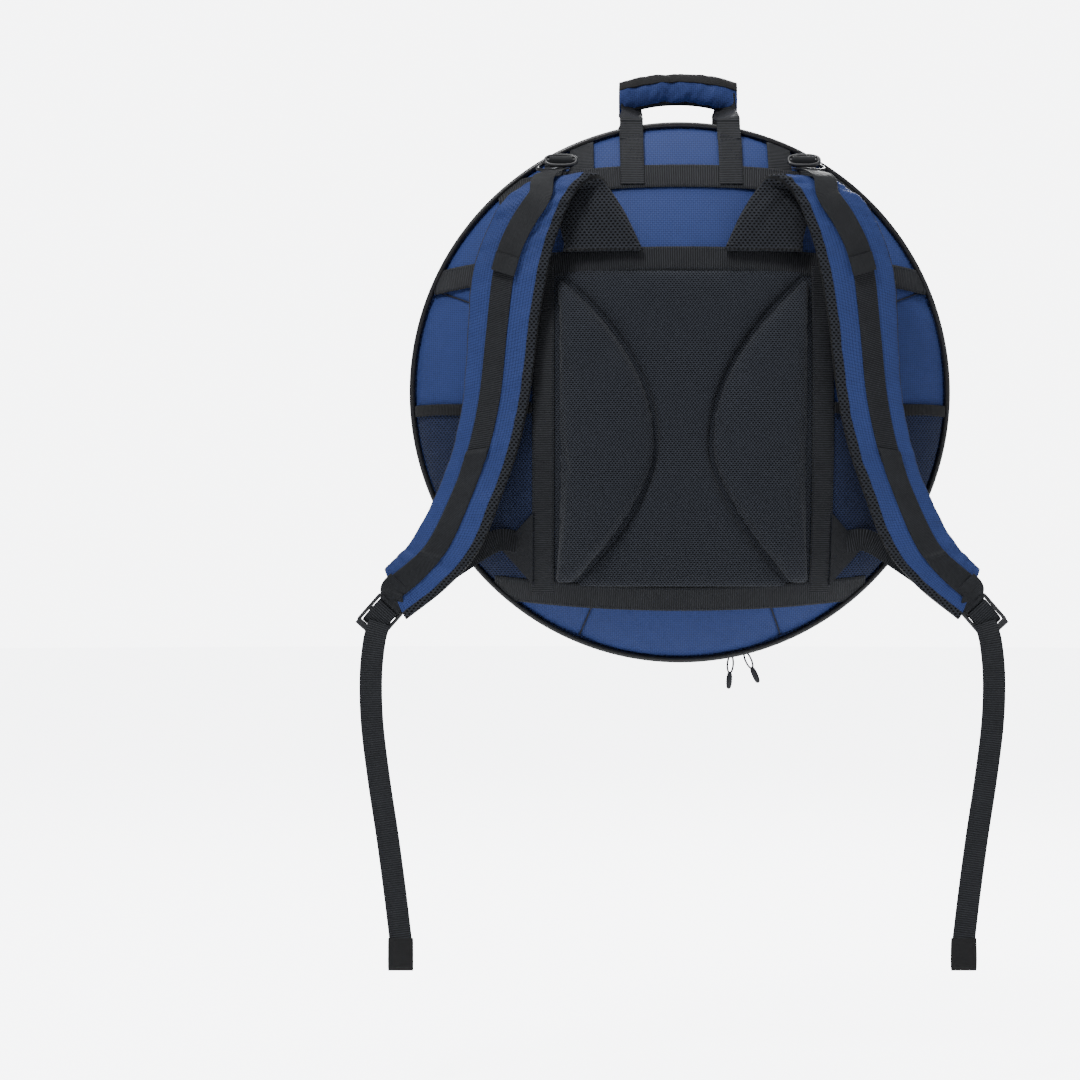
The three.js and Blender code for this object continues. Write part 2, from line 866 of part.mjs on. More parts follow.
makePanels();
makeTrayLining();
makeWall();
makePiping();
makeZipHalf("zip_tape_back", wallStart - gap, zipPlane + 0.2);
makeZipHalf("zip_tape_front", -pipingPlane + pipingRadius + 0.4, zipPlane - 0.2);
makeHingePatch();
makeBackBands();
makeHandleLegs("back", 1, backBandRoom, topBandZ - 5);
makePads();
makePockets();
makeFrontBand();
makeHandleLegs("front", -1, [bandShape(frontBandZ, frontBandBow, 230, grown)], frontBandZ - 5);
makeRings();
makeLoop("back_loop", 1);
makeLoop("front_loop", -1);
makeWrap();
makeStraps();
makeAdjusters();
makeSliders();

export default model;
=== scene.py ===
# Padded round backpack bag for a handpan: fabric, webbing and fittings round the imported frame.
import math

import bmesh
import bpy
import numpy as np
from mathutils import Matrix, Vector, noise


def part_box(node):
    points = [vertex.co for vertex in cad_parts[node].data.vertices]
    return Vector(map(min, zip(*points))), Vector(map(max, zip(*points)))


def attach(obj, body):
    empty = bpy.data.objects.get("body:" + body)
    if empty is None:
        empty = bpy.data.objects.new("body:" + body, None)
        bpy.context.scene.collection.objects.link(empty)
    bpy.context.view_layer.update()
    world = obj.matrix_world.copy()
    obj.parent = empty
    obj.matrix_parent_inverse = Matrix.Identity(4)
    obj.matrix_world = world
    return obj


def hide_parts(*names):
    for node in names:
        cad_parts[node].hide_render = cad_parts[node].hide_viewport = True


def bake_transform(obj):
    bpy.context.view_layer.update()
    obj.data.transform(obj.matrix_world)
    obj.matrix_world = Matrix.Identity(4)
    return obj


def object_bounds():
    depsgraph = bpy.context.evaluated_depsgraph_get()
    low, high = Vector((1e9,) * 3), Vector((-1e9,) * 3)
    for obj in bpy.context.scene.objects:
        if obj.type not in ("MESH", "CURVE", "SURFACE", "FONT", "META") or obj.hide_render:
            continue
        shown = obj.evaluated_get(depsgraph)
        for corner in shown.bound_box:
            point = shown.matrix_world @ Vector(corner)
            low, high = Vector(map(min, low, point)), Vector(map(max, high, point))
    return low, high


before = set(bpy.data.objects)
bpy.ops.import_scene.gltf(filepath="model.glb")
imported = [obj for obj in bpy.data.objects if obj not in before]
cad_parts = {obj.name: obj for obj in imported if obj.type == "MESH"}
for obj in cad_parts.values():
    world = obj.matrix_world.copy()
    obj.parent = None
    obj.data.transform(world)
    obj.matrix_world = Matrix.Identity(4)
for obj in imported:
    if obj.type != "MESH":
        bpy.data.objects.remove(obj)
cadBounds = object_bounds()
mm = 0.001


def centreOf(node):
    low, high = (Vector(corner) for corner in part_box(node))
    return (low + high) / 2


def sizeOf(node):
    low, high = (Vector(corner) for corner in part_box(node))
    return high - low


# The round shell that everything is sewn to, read from the frame.
ringLow, ringHigh = (Vector(c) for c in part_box("back_piping"))
bag = {
    "middle": (ringLow.z + ringHigh.z) / 2,
    "radius": 0.290,
    "pipingPlane": (ringLow.y + ringHigh.y) / 2,
    "panelRadius": sizeOf("back_cover").x / 2,
    "plateau": 0.105,
    "backDepth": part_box("back_cover")[1][1] - (ringLow.y + ringHigh.y) / 2,
    "frontDepth": -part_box("front_cover")[0][1] - (ringLow.y + ringHigh.y) / 2,
    "wall": sizeOf("gusset_cover").x / 2,
}
dartHalf = math.pi / 8
dartSeams = [dartHalf + k * math.pi / 4 for k in range(8)]


def fromMiddle(x, y, z):
    # A place given in millimetres from the middle of the bag.
    return Vector((x, y, z)) * mm + Vector((0, 0, bag["middle"]))


def onCircle(angle, radius, y):
    return Vector((math.sin(angle) * radius, y, math.cos(angle) * radius + bag["middle"]))


def domeHeight(x, z, side):
    radius = math.hypot(x, z)
    facing = (math.atan2(x, z) + dartHalf) % (math.pi / 4) - dartHalf
    span = bag["panelRadius"] - bag["plateau"]
    rim = min(1, max(0, (radius - bag["plateau"]) / span))
    facet = math.cos(facing) * 1.03
    effective = radius * (1 + (facet - 1) * (1 - rim) * min(1, radius / bag["plateau"]))
    fall = min(1, max(0, (effective - bag["plateau"]) / span))
    depth = bag["backDepth"] if side > 0 else bag["frontDepth"]
    return depth * max(0, 1 - fall ** 1.7) ** 0.78


def panelPoint(x, z, side, lift=0.0):
    step, reach = 0.0008, bag["panelRadius"] - 0.0002
    span = math.hypot(x, z)
    if span > reach:
        x, z = x * reach / span, z * reach / span
    height = domeHeight(x, z, side)
    inX, inZ = -math.copysign(step, x), -math.copysign(step, z)
    slopeX = (domeHeight(x + inX, z, side) - height) / inX
    slopeZ = (domeHeight(x, z + inZ, side) - height) / inZ
    out = Vector((-slopeX, 1, -slopeZ)).normalized()
    out.y *= side
    place = Vector((x, side * (bag["pipingPlane"] + height), z + bag["middle"]))
    return place + out * lift, out


# --- camera, light and floor
def doubledRow(spots, side, high, low):
    # One row of a thin sheet on the panel: its face, then its underside back again.
    face = [panelPoint(x, z, side, high)[0] for x, z in spots]
    return face + [panelPoint(x, z, side, low)[0] for x, z in spots[::-1]]


view = {"away": 3.5, "aim": (0.150, 0.0, bag["middle"] - 0.1585), "wide": 1.149, "sensor": 36}


def makeCamera():
    camera = bpy.data.objects.new("camera", bpy.data.cameras.new("camera"))
    bpy.context.scene.collection.objects.link(camera)
    aim = Vector(view["aim"])
    camera.location = aim + Vector((0, view["away"], 0))
    camera.rotation_euler = (aim - camera.location).to_track_quat("-Z", "Y").to_euler()
    camera.data.sensor_width = view["sensor"]
    camera.data.lens = view["sensor"] * (view["away"] - bag["pipingPlane"] - 0.03) / view["wide"]
    camera.data.clip_end = 30
    bpy.context.scene.camera = camera


def makeLight(name, place, size, power, aim=(0, 0, -0.33)):
    light = bpy.data.objects.new(name, bpy.data.lights.new(name, "AREA"))
    bpy.context.scene.collection.objects.link(light)
    light.data.size = size
    light.data.energy = power
    light.location = place
    light.rotation_euler = (Vector(aim) - Vector(place)).to_track_quat("-Z", "Y").to_euler()


def floorMaterial():
    # Pale studio floor, with a faint glow so that it runs into the background.
    paint = plainMaterial("floorPaint", (0.93, 0.94, 0.95), 0.8)
    shader = paint.node_tree.nodes["Principled BSDF"]
    shader.inputs["Emission Color"].default_value = (0.96, 0.97, 1.0, 1)
    path = paint.node_tree.nodes.new("ShaderNodeLightPath")
    glow = addMath(paint.node_tree, "MULTIPLY", path.outputs["Is Camera Ray"], 6.0)
    paint.node_tree.links.new(glow, shader.inputs["Emission Strength"])
    shader.inputs["Specular IOR Level"].default_value = 0.1
    return paint


lamps = (("keyLight", (1.3, 1.9, 2.5), 0.8, 88), ("fillLight", (-2.4, 1.9, 0.4), 2.0, 12),
         ("frontKey", (-1.0, -2.5, 1.6), 0.8, 96), ("frontFill", (2.4, -1.9, 0.4), 2.0, 9))


def makeStage():
    world = bpy.data.worlds.new("studio")
    bpy.context.scene.world = world
    world.use_nodes = True
    tree = world.node_tree
    soft = tree.nodes["Background"]
    soft.inputs["Color"].default_value = (0.93, 0.95, 1.0, 1)
    soft.inputs["Strength"].default_value = 0.26
    seen = tree.nodes.new("ShaderNodeBackground")
    seen.inputs["Color"].default_value = (0.97, 0.98, 1.0, 1)
    seen.inputs["Strength"].default_value = 6.8
    path, mix = tree.nodes.new("ShaderNodeLightPath"), tree.nodes.new("ShaderNodeMixShader")
    tree.links.new(path.outputs["Is Camera Ray"], mix.inputs[0])
    tree.links.new(soft.outputs[0], mix.inputs[1])
    tree.links.new(seen.outputs[0], mix.inputs[2])
    tree.links.new(mix.outputs[0], tree.nodes["World Output"].inputs["Surface"])
    for name, place, size, power in lamps:
        makeLight(name, place, size, power)
    makeLight("floorGlow", (0, 0, 4.2), 3.0, 110, aim=(0, 0, -2))
    bm = bmesh.new()
    bmesh.ops.create_circle(bm, cap_ends=True, radius=14, segments=96)
    bmesh.ops.translate(bm, verts=bm.verts, vec=(0, 0, cadBounds[0][2] - 0.12))
    floor = finishPiece("floor", bm, floorMaterial())


# --- small helpers for meshes
def finishPiece(name, bm, *materials, smooth=40):
    mesh = bpy.data.meshes.new(name)
    bm.to_mesh(mesh)
    bm.free()
    piece = bpy.data.objects.new(name, mesh)
    bpy.context.scene.collection.objects.link(piece)
    for material in materials:
        mesh.materials.append(material)
    mesh.shade_smooth()
    if smooth:
        mesh.set_sharp_from_angle(angle=math.radians(smooth))
    return piece


def loftPiece(name, rings, *materials, closed=False, caps=True, smooth=40, uv=None, pick=None):
    # Joins rings of points into one skin; uv gives (along, round) in metres for a pattern.
    bm = bmesh.new()
    layer = bm.loops.layers.uv.new("weave")
    rows = [[bm.verts.new(point) for point in ring] for ring in rings]
    count = len(rows[0])
    spans = len(rows) if closed else len(rows) - 1
    for i in range(spans):
        low, high = rows[i], rows[(i + 1) % len(rows)]
        for j in range(count):
            k = (j + 1) % count
            face = bm.faces.new((low[j], low[k], high[k], high[j]))
            if pick:
                face.material_index = pick(i, j)
            if uv:
                marks = (uv(i, j), uv(i, j + 1), uv(i + 1, j + 1), uv(i + 1, j))
                for loop, mark in zip(face.loops, marks):
                    loop[layer].uv = mark
    if caps and not closed:
        bm.faces.new(rows[0][::-1])
        bm.faces.new(rows[-1])
    bmesh.ops.recalc_face_normals(bm, faces=bm.faces)
    return finishPiece(name, bm, *materials, smooth=smooth)


def flatSection(width, thick, wide=8, soft=0.35):
    # A webbing's section: flat faces with rounded selvedges, as (across, out) pairs.
    half, deep = width / 2, thick / 2
    edge = thick * soft
    pairs = [(-half + edge + (width - 2 * edge) * i / wide, deep) for i in range(wide + 1)]
    pairs += [(half, deep * 0.4), (half, -deep * 0.4)]
    pairs += [(half - edge - (width - 2 * edge) * i / wide, -deep) for i in range(wide + 1)]
    pairs += [(-half, -deep * 0.4), (-half, deep * 0.4)]
    return pairs


def roundSection(radius, sides=10):
    turn = 2 * math.pi / sides
    return [(radius * math.cos(i * turn), radius * math.sin(i * turn)) for i in range(sides)]


def smoothRoute(points, steps):
    # An even walk along a Catmull-Rom curve through given points.
    points = [Vector(p) for p in points]
    padded = [2 * points[0] - points[1], *points, 2 * points[-1] - points[-2]]
    fine = []
    for i in range(1, len(padded) - 2):
        a, b, c, d = padded[i - 1:i + 3]
        for j in range(24):
            t = j / 24
            fine.append(0.5 * (2 * b + (c - a) * t + (2 * a - 5 * b + 4 * c - d) * t * t
                               + (3 * b - a - 3 * c + d) * t ** 3))
    fine.append(points[-1])
    travel = np.concatenate([[0], np.cumsum([(q - p).length for p, q in zip(fine, fine[1:])])])
    table = np.array([tuple(p) for p in fine])
    walk = np.linspace(0, travel[-1], steps + 1)
    return [Vector([np.interp(w, travel, table[:, k]) for k in range(3)]) for w in walk]


def framesAlong(route, wide):
    # Point, across and out at each step; wide is a vector or a function of the share travelled.
    frames = []
    for i, point in enumerate(route):
        tangent = (route[min(i + 1, len(route) - 1)] - route[max(i - 1, 0)]).normalized()
        hint = wide(i / (len(route) - 1)) if callable(wide) else Vector(wide)
        out = hint.cross(tangent).normalized()
        frames.append((point, tangent.cross(out).normalized(), out))
    return frames


def sweepPiece(name, frames, section, *materials, closed=False, caps=True, smooth=40, pick=None):
    travel = [0.0]
    for (p, _, _), (q, _, _) in zip(frames, frames[1:]):
        travel.append(travel[-1] + (q - p).length)
    if closed:
        travel.append(travel[-1] + (frames[0][0] - frames[-1][0]).length)
    rings = [[p + a * s + o * t for s, t in section] for p, a, o in frames]
    around = [s for s, _ in section] + [section[0][0]]
    return loftPiece(name, rings, *materials, closed=closed, caps=caps, smooth=smooth, pick=pick,
                     uv=lambda i, j: (travel[i], around[j]))


def panelStrip(name, points, side, width, material, lift=0.0012, thick=0.0014, steps=60):
    # Webbing sewn flat on a panel along points given as (x, z) from the bag's middle.
    flat = smoothRoute([(x, 0, z) for x, z in points], steps)
    frames = []
    for i, spot in enumerate(flat):
        ahead = flat[min(i + 1, steps)] - flat[max(i - 1, 0)]
        across = Vector((ahead.z, 0, -ahead.x)).normalized()
        frames.append((spot, across))
    section = flatSection(width, thick)
    rings, travel = [], [0.0]
    for spot, across in frames:
        ring = []
        for s, t in section:
            here = spot + across * s
            ring.append(panelPoint(here.x, here.z, side, lift + t)[0])
        rings.append(ring)
    for low, high in zip(rings, rings[1:]):
        travel.append(travel[-1] + (high[4] - low[4]).length)
    around = [s for s, _ in section] + [section[0][0]]
    return loftPiece(name, rings, material, uv=lambda i, j: (travel[i], around[j]), smooth=50)


# --- materials: small node helpers first
def plainMaterial(name, colour, roughness, metallic=0.0):
    material = bpy.data.materials.new(name)
    material.use_nodes = True
    shader = material.node_tree.nodes["Principled BSDF"]
    shader.inputs["Base Color"].default_value = (*colour, 1)
    shader.inputs["Roughness"].default_value = roughness
    shader.inputs["Metallic"].default_value = metallic
    return material


def addMath(tree, operation, first, second=None, third=None):
    node = tree.nodes.new("ShaderNodeMath")
    node.operation = operation
    for socket, value in zip(node.inputs, (first, second, third)):
        if value is None:
            continue
        if isinstance(value, (int, float)):
            socket.default_value = value
        else:
            tree.links.new(value, socket)
    return node.outputs[0]


def newGroup(name, inputs, outputs):
    tree = bpy.data.node_groups.new(name, "ShaderNodeTree")
    for label, kind, value in inputs:
        socket = tree.interface.new_socket(label, in_out="INPUT", socket_type=kind)
        socket.default_value = value
    for label, kind in outputs:
        tree.interface.new_socket(label, in_out="OUTPUT", socket_type=kind)
    return tree, tree.nodes.new("NodeGroupInput").outputs, tree.nodes.new("NodeGroupOutput").inputs


def mixColour(tree, share, first, second, blend="MIX"):
    node = tree.nodes.new("ShaderNodeMix")
    node.data_type = "RGBA"
    node.blend_type = blend
    for socket, value in ((node.inputs[0], share), (node.inputs[6], first), (node.inputs[7], second)):
        if isinstance(value, (int, float, tuple)):
            socket.default_value = value
        else:
            tree.links.new(value, socket)
    return node.outputs[2]


def addNoise(tree, vector, scale, detail=3):
    node = tree.nodes.new("ShaderNodeTexNoise")
    node.inputs["Detail"].default_value = detail
    if isinstance(scale, (int, float)):
        node.inputs["Scale"].default_value = scale
    else:
        tree.links.new(scale, node.inputs["Scale"])
    tree.links.new(vector, node.inputs["Vector"])
    return node.outputs["Fac"]


def makeWeaveGroup():
    # Two-over-two basket weave from two crossed coordinates, in threads per metre.
    tree, given, out = newGroup("basketWeave", [
        ("Across", "NodeSocketFloat", 0.0), ("Along", "NodeSocketFloat", 0.0),
        ("Threads", "NodeSocketFloat", 700.0), ("Unevenness", "NodeSocketFloat", 0.3),
        ("Vector", "NodeSocketVector", (0, 0, 0))],
        [("Height", "NodeSocketFloat"), ("Cell", "NodeSocketFloat"), ("Blotch", "NodeSocketFloat")])
    wobble = addNoise(tree, given["Vector"], 60, 2)
    shift = addMath(tree, "MULTIPLY", addMath(tree, "SUBTRACT", wobble, 0.5), given["Unevenness"])
    u = addMath(tree, "ADD", addMath(tree, "MULTIPLY", given["Across"], given["Threads"]), shift)
    v = addMath(tree, "ADD", addMath(tree, "MULTIPLY", given["Along"], given["Threads"]), shift)
    check = addMath(tree, "MODULO", addMath(tree, "ADD", addMath(tree, "FLOOR", u),
                                            addMath(tree, "FLOOR", v)), 2.0)
    check = addMath(tree, "ABSOLUTE", check)
    threadU = addMath(tree, "ABSOLUTE", addMath(tree, "SINE", addMath(tree, "MULTIPLY", u, math.pi)))
    threadV = addMath(tree, "ABSOLUTE", addMath(tree, "SINE", addMath(tree, "MULTIPLY", v, math.pi)))
    first = addMath(tree, "MULTIPLY", threadU, check)
    second = addMath(tree, "MULTIPLY", threadV, addMath(tree, "SUBTRACT", 1.0, check))
    tree.links.new(addMath(tree, "ADD", first, second), out["Height"])
    tree.links.new(check, out["Cell"])
    tree.links.new(addNoise(tree, given["Vector"], 9, 4), out["Blotch"])
    return tree


def makeRibGroup():
    # Ribs across a webbing, broken into bead-like crossings by a finer wave.
    tree, given, out = newGroup("webbingRibs", [
        ("Vector", "NodeSocketVector", (0, 0, 0)), ("Ribs", "NodeSocketFloat", 640.0),
        ("Ends", "NodeSocketFloat", 900.0), ("Slant", "NodeSocketFloat", 0.0)],
        [("Height", "NodeSocketFloat"), ("Wear", "NodeSocketFloat")])
    split = tree.nodes.new("ShaderNodeSeparateXYZ")
    tree.links.new(given["Vector"], split.inputs[0])
    slanted = addMath(tree, "ADD", split.outputs[0],
                      addMath(tree, "MULTIPLY", split.outputs[1], given["Slant"]))
    rib = addMath(tree, "SINE", addMath(
        tree, "MULTIPLY", addMath(tree, "MULTIPLY", slanted, given["Ribs"]), 2 * math.pi))
    end = addMath(tree, "SINE", addMath(
        tree, "MULTIPLY", addMath(tree, "MULTIPLY", split.outputs[1], given["Ends"]), 2 * math.pi))
    rib = addMath(tree, "MULTIPLY_ADD", rib, 0.5, 0.5)
    end = addMath(tree, "MULTIPLY_ADD", end, 0.2, 0.8)
    tree.links.new(addMath(tree, "MULTIPLY", rib, end), out["Height"])
    tree.links.new(addNoise(tree, given["Vector"], 45, 4), out["Wear"])
    return tree


def makeMeshGroup():
    # Staggered oval holes of spacer mesh in two object directions.
    tree, given, out = newGroup("spacerMesh", [
        ("Across", "NodeSocketFloat", 0.0), ("Along", "NodeSocketFloat", 0.0),
        ("Pitch", "NodeSocketFloat", 0.0034)], [("Hole", "NodeSocketFloat"), ("Height", "NodeSocketFloat")])
    u = addMath(tree, "DIVIDE", given["Across"], given["Pitch"])
    v = addMath(tree, "DIVIDE", given["Along"], addMath(tree, "MULTIPLY", given["Pitch"], 0.62))
    row = addMath(tree, "FLOOR", v)
    odd = addMath(tree, "ABSOLUTE", addMath(tree, "MODULO", row, 2.0))
    u = addMath(tree, "ADD", u, addMath(tree, "MULTIPLY", odd, 0.5))
    du = addMath(tree, "SUBTRACT", addMath(tree, "FRACT", u), 0.5)
    dv = addMath(tree, "SUBTRACT", addMath(tree, "FRACT", v), 0.5)
    du = addMath(tree, "MULTIPLY", du, 1.15)
    reach = addMath(tree, "SQRT", addMath(tree, "ADD", addMath(tree, "MULTIPLY", du, du),
                                          addMath(tree, "MULTIPLY", dv, dv)))
    ramp = tree.nodes.new("ShaderNodeMapRange")
    ramp.interpolation_type = "SMOOTHSTEP"
    ramp.inputs[1].default_value, ramp.inputs[2].default_value = 0.26, 0.42
    tree.links.new(reach, ramp.inputs[0])
    tree.links.new(addMath(tree, "SUBTRACT", 1.0, ramp.outputs[0]), out["Hole"])
    tree.links.new(ramp.outputs[0], out["Height"])
    return tree


groups = {}


def placeGroup(tree, name):
    node = tree.nodes.new("ShaderNodeGroup")
    node.node_tree = groups[name]
    return node


def addBump(tree, shader, height, distance, strength=1.0):
    bump = tree.nodes.new("ShaderNodeBump")
    bump.inputs["Distance"].default_value = distance
    bump.inputs["Strength"].default_value = strength
    tree.links.new(height, bump.inputs["Height"])
    tree.links.new(bump.outputs[0], shader.inputs["Normal"])


def objectCoordinates(tree):
    coords = tree.nodes.new("ShaderNodeTexCoord")
    split = tree.nodes.new("ShaderNodeSeparateXYZ")
    tree.links.new(coords.outputs["Object"], split.inputs[0])
    return coords.outputs["Object"], split.outputs


def clothMaterial(name, dark, light, threads=440, sheen=0.08, roughness=0.62, relief=0.00025):
    # Coated pack cloth: painted highlight on the thread tops and painted shade in the gaps between them,
    # faint blotches and dust.
    material = plainMaterial(name, dark, roughness)
    tree = material.node_tree
    shader = tree.nodes["Principled BSDF"]
    shader.inputs["Sheen Weight"].default_value = sheen
    shader.inputs["Specular IOR Level"].default_value = 0.22
    shader.inputs["Sheen Roughness"].default_value = 0.45
    shader.inputs["Sheen Tint"].default_value = (0.5, 0.6, 0.9, 1)
    vector, axes = objectCoordinates(tree)
    weave = placeGroup(tree, "basketWeave")
    weave.inputs["Threads"].default_value = threads
    tree.links.new(vector, weave.inputs["Vector"])
    tree.links.new(axes[0], weave.inputs["Across"])
    rise = addMath(tree, "ADD", axes[2], addMath(tree, "MULTIPLY", axes[1], 0.15))
    tree.links.new(rise, weave.inputs["Along"])
    # The light and dark colours are mixed on the weave height: a painted highlight on the thread tops,
    # painted shade in the gaps.
    threadHighlightAndShade = mixColour(tree, weave.outputs["Height"], (*dark, 1), (*light, 1))
    patchy = addMath(tree, "MULTIPLY_ADD", weave.outputs["Blotch"], 0.34, 0.83)
    tone = tree.nodes.new("ShaderNodeVectorMath")
    tone.operation = "SCALE"
    tree.links.new(threadHighlightAndShade, tone.inputs[0])
    tree.links.new(patchy, tone.inputs["Scale"])
    tree.links.new(tone.outputs[0], shader.inputs["Base Color"])
    rough = addMath(tree, "MULTIPLY_ADD", weave.outputs["Cell"], 0.12, roughness - 0.06)
    tree.links.new(rough, shader.inputs["Roughness"])
    addBump(tree, shader, weave.outputs["Height"], relief)
    return material


def webbingMaterial(name, dark, light, ribs=420, ends=900, slant=0.0, relief=0.0005, roughness=0.55):
    material = plainMaterial(name, dark, roughness)
    tree = material.node_tree
    shader = tree.nodes["Principled BSDF"]
    shader.inputs["Sheen Weight"].default_value = 0.05
    shader.inputs["Specular IOR Level"].default_value = 0.18
    coords = tree.nodes.new("ShaderNodeTexCoord")
    rib = placeGroup(tree, "webbingRibs")
    rib.inputs["Ribs"].default_value = ribs
    rib.inputs["Ends"].default_value = ends
    rib.inputs["Slant"].default_value = slant
    tree.links.new(coords.outputs["UV"], rib.inputs["Vector"])
    # Mixed on the rib height: a painted highlight on the rib tops and painted shade in the grooves between
    # them.
    tone = mixColour(tree, rib.outputs["Height"], (*dark, 1), (*light, 1))
    worn = addMath(tree, "MULTIPLY_ADD", rib.outputs["Wear"], 0.6, 0.7)
    scale = tree.nodes.new("ShaderNodeVectorMath")
    scale.operation = "SCALE"
    tree.links.new(tone, scale.inputs[0])
    tree.links.new(worn, scale.inputs["Scale"])
    tree.links.new(scale.outputs[0], shader.inputs["Base Color"])
    addBump(tree, shader, rib.outputs["Height"], relief)
    return material


def meshMaterial(name, yarn, holeShade, pitch=0.0034, relief=0.0009):
    material = plainMaterial(name, yarn, 0.85)
    tree = material.node_tree
    shader = tree.nodes["Principled BSDF"]
    shader.inputs["Sheen Weight"].default_value = 0.08
    shader.inputs["Specular IOR Level"].default_value = 0.12
    vector, axes = objectCoordinates(tree)
    cells = placeGroup(tree, "spacerMesh")
    cells.inputs["Pitch"].default_value = pitch
    tree.links.new(axes[0], cells.inputs["Across"])
    tree.links.new(axes[2], cells.inputs["Along"])
    fluff = addNoise(tree, vector, 900, 2)
    shade = mixColour(tree, fluff, (*[c * 0.7 for c in yarn], 1), (*[c * 1.35 for c in yarn], 1))
    # The open cells get the near-black hole colour: painted shade inside the cells.
    tree.links.new(mixColour(tree, cells.outputs["Hole"], shade, (*holeShade, 1)), shader.inputs["Base Color"])
    addBump(tree, shader, cells.outputs["Height"], relief)
    return material


def mouldedMaterial(name, colour, roughness, metallic=0.0, coat=0.0, grain=900, relief=0.00008,
                    shine=0.5):
    material = plainMaterial(name, colour, roughness, metallic)
    tree = material.node_tree
    shader = tree.nodes["Principled BSDF"]
    shader.inputs["Coat Weight"].default_value = coat
    shader.inputs["Specular IOR Level"].default_value = shine
    vector, _ = objectCoordinates(tree)
    speckle = addNoise(tree, vector, grain, 3)
    smudge = addNoise(tree, vector, 40, 4)
    tree.links.new(addMath(tree, "MULTIPLY_ADD", smudge, 0.25, roughness - 0.1), shader.inputs["Roughness"])
    tree.links.new(mixColour(tree, speckle, (*[c * 0.75 for c in colour], 1),
                             (*[c * 1.3 for c in colour], 1)), shader.inputs["Base Color"])
    addBump(tree, shader, speckle, relief)
    return material


def makeMaterials():
    groups["basketWeave"] = makeWeaveGroup()
    groups["webbingRibs"] = makeRibGroup()
    groups["spacerMesh"] = makeMeshGroup()
    return {
        "navyCloth": clothMaterial("navyCloth", (0.013, 0.026, 0.100), (0.036, 0.064, 0.225)),
        "seamThread": mouldedMaterial("seamThread", (0.008, 0.010, 0.022), 0.7),
        "ribbedWebbing": webbingMaterial("ribbedWebbing", (0.005, 0.0053, 0.0063), (0.034, 0.037, 0.044)),
        "fineWebbing": webbingMaterial("fineWebbing", (0.008, 0.0083, 0.0095), (0.033, 0.036, 0.042),
                                       ribs=620, ends=700, slant=0.9, relief=0.0003),
        "spacerMesh": meshMaterial("spacerMesh", (0.032, 0.036, 0.047), (0.0012, 0.0012, 0.0016)),
        "strapMesh": meshMaterial("strapMesh", (0.030, 0.033, 0.041), (0.0010, 0.0010, 0.0014), pitch=0.0046),
        "binding": webbingMaterial("binding", (0.005, 0.005, 0.006), (0.018, 0.019, 0.022), ribs=500),
        "piping": mouldedMaterial("piping", (0.010, 0.010, 0.012), 0.42, coat=0.15),
        "satin": clothMaterial("satin", (0.006, 0.006, 0.007), (0.022, 0.022, 0.025), threads=2200,
                               roughness=0.38, relief=0.00005),
        "blackMetal": mouldedMaterial("blackMetal", (0.055, 0.056, 0.060), 0.32, 0.9),
        "acetal": mouldedMaterial("acetal", (0.022, 0.023, 0.026), 0.36, coat=0.2),
        "rubber": mouldedMaterial("rubber", (0.030, 0.031, 0.034), 0.6, relief=0.00015),
        "hookLoop": mouldedMaterial("hookLoop", (0.012, 0.012, 0.013), 0.95, grain=2600, relief=0.0006),
        "net": meshMaterial("net", (0.022, 0.032, 0.078), (0.004, 0.006, 0.016), pitch=0.0036, relief=0.0006),
    }


# --- the padded shell
shell = {"facing": (0, 3, 6, 9, 12, 15, 18, 20, 21, 21.7, 22.1, 22.3), "rings": 54}


def aroundPanel():
    angles = []
    for k in range(8):
        offsets = [-f for f in shell["facing"][:0:-1]] + list(shell["facing"]) + [22.5]
        angles += [math.radians(45 * k + f) for f in offsets]
    return angles


def panelRelief(radius, angle, side):
    # Stitched dart grooves, soft valleys beside them, puckers at their ends and slack cloth.
    off = abs((angle + dartHalf) % (math.pi / 4) - dartHalf)
    off = math.degrees(dartHalf - off)
    start = min(1, max(0, (radius - 0.112) / 0.016))
    groove = 1.5 * math.exp(-(off / 0.4) ** 2) + 1.7 * math.exp(-(off / 3.6) ** 2)
    pucker = 3.4 * math.exp(-((radius - 0.124) / 0.013) ** 2) * math.exp(-(off / 5) ** 2)
    place = Vector((math.sin(angle) * radius, side * 0.3, math.cos(angle) * radius))
    slack = 0.5 * (1 + noise.noise(place * 16)) + 0.25 * (1 + noise.noise(place * 46))
    facing = (angle + dartHalf) % (math.pi / 4) - dartHalf
    plateau = radius * math.cos(facing) / 0.112
    ridge = -2.8 * math.exp(-((plateau - 1.0) / 0.06) ** 2) * (0.7 + 0.4 * noise.noise(place * 22))
    ridge += 1.5 * math.exp(-((plateau - 1.18) / 0.08) ** 2)
    slack += ridge + 1.6 * noise.noise(Vector((off * 0.24, radius * 30, side))) * math.exp(
        -((radius - 0.135) / 0.03) ** 2)
    rimDip = 0.3 * math.exp(-((bag["panelRadius"] - radius) / 0.006) ** 2)
    return -(groove * start + pucker + 0.75 * slack + rimDip) * mm


def insideProfile(side, depthIn, start=0.004, rows=16):
    # Radius and height of the dome's own curve moved inwards, from its middle to its rim.
    spots = []
    for i in range(rows + 1):
        radius = start + (bag["panelRadius"] - 0.0004 - start) * (i / rows) ** 0.8
        place, out = panelPoint(0, radius, side, 0)
        moved = place - out * depthIn
        if abs(moved.y) < bag["pipingPlane"] - 0.002:
            break
        spots.append((moved.z - bag["middle"], moved.y))
    return spots


def paddedInside(side, angles, depthIn):
    spots = insideProfile(side, depthIn)
    return [[onCircle(a, r, y) for a in angles] for r, y in spots[::-1]]


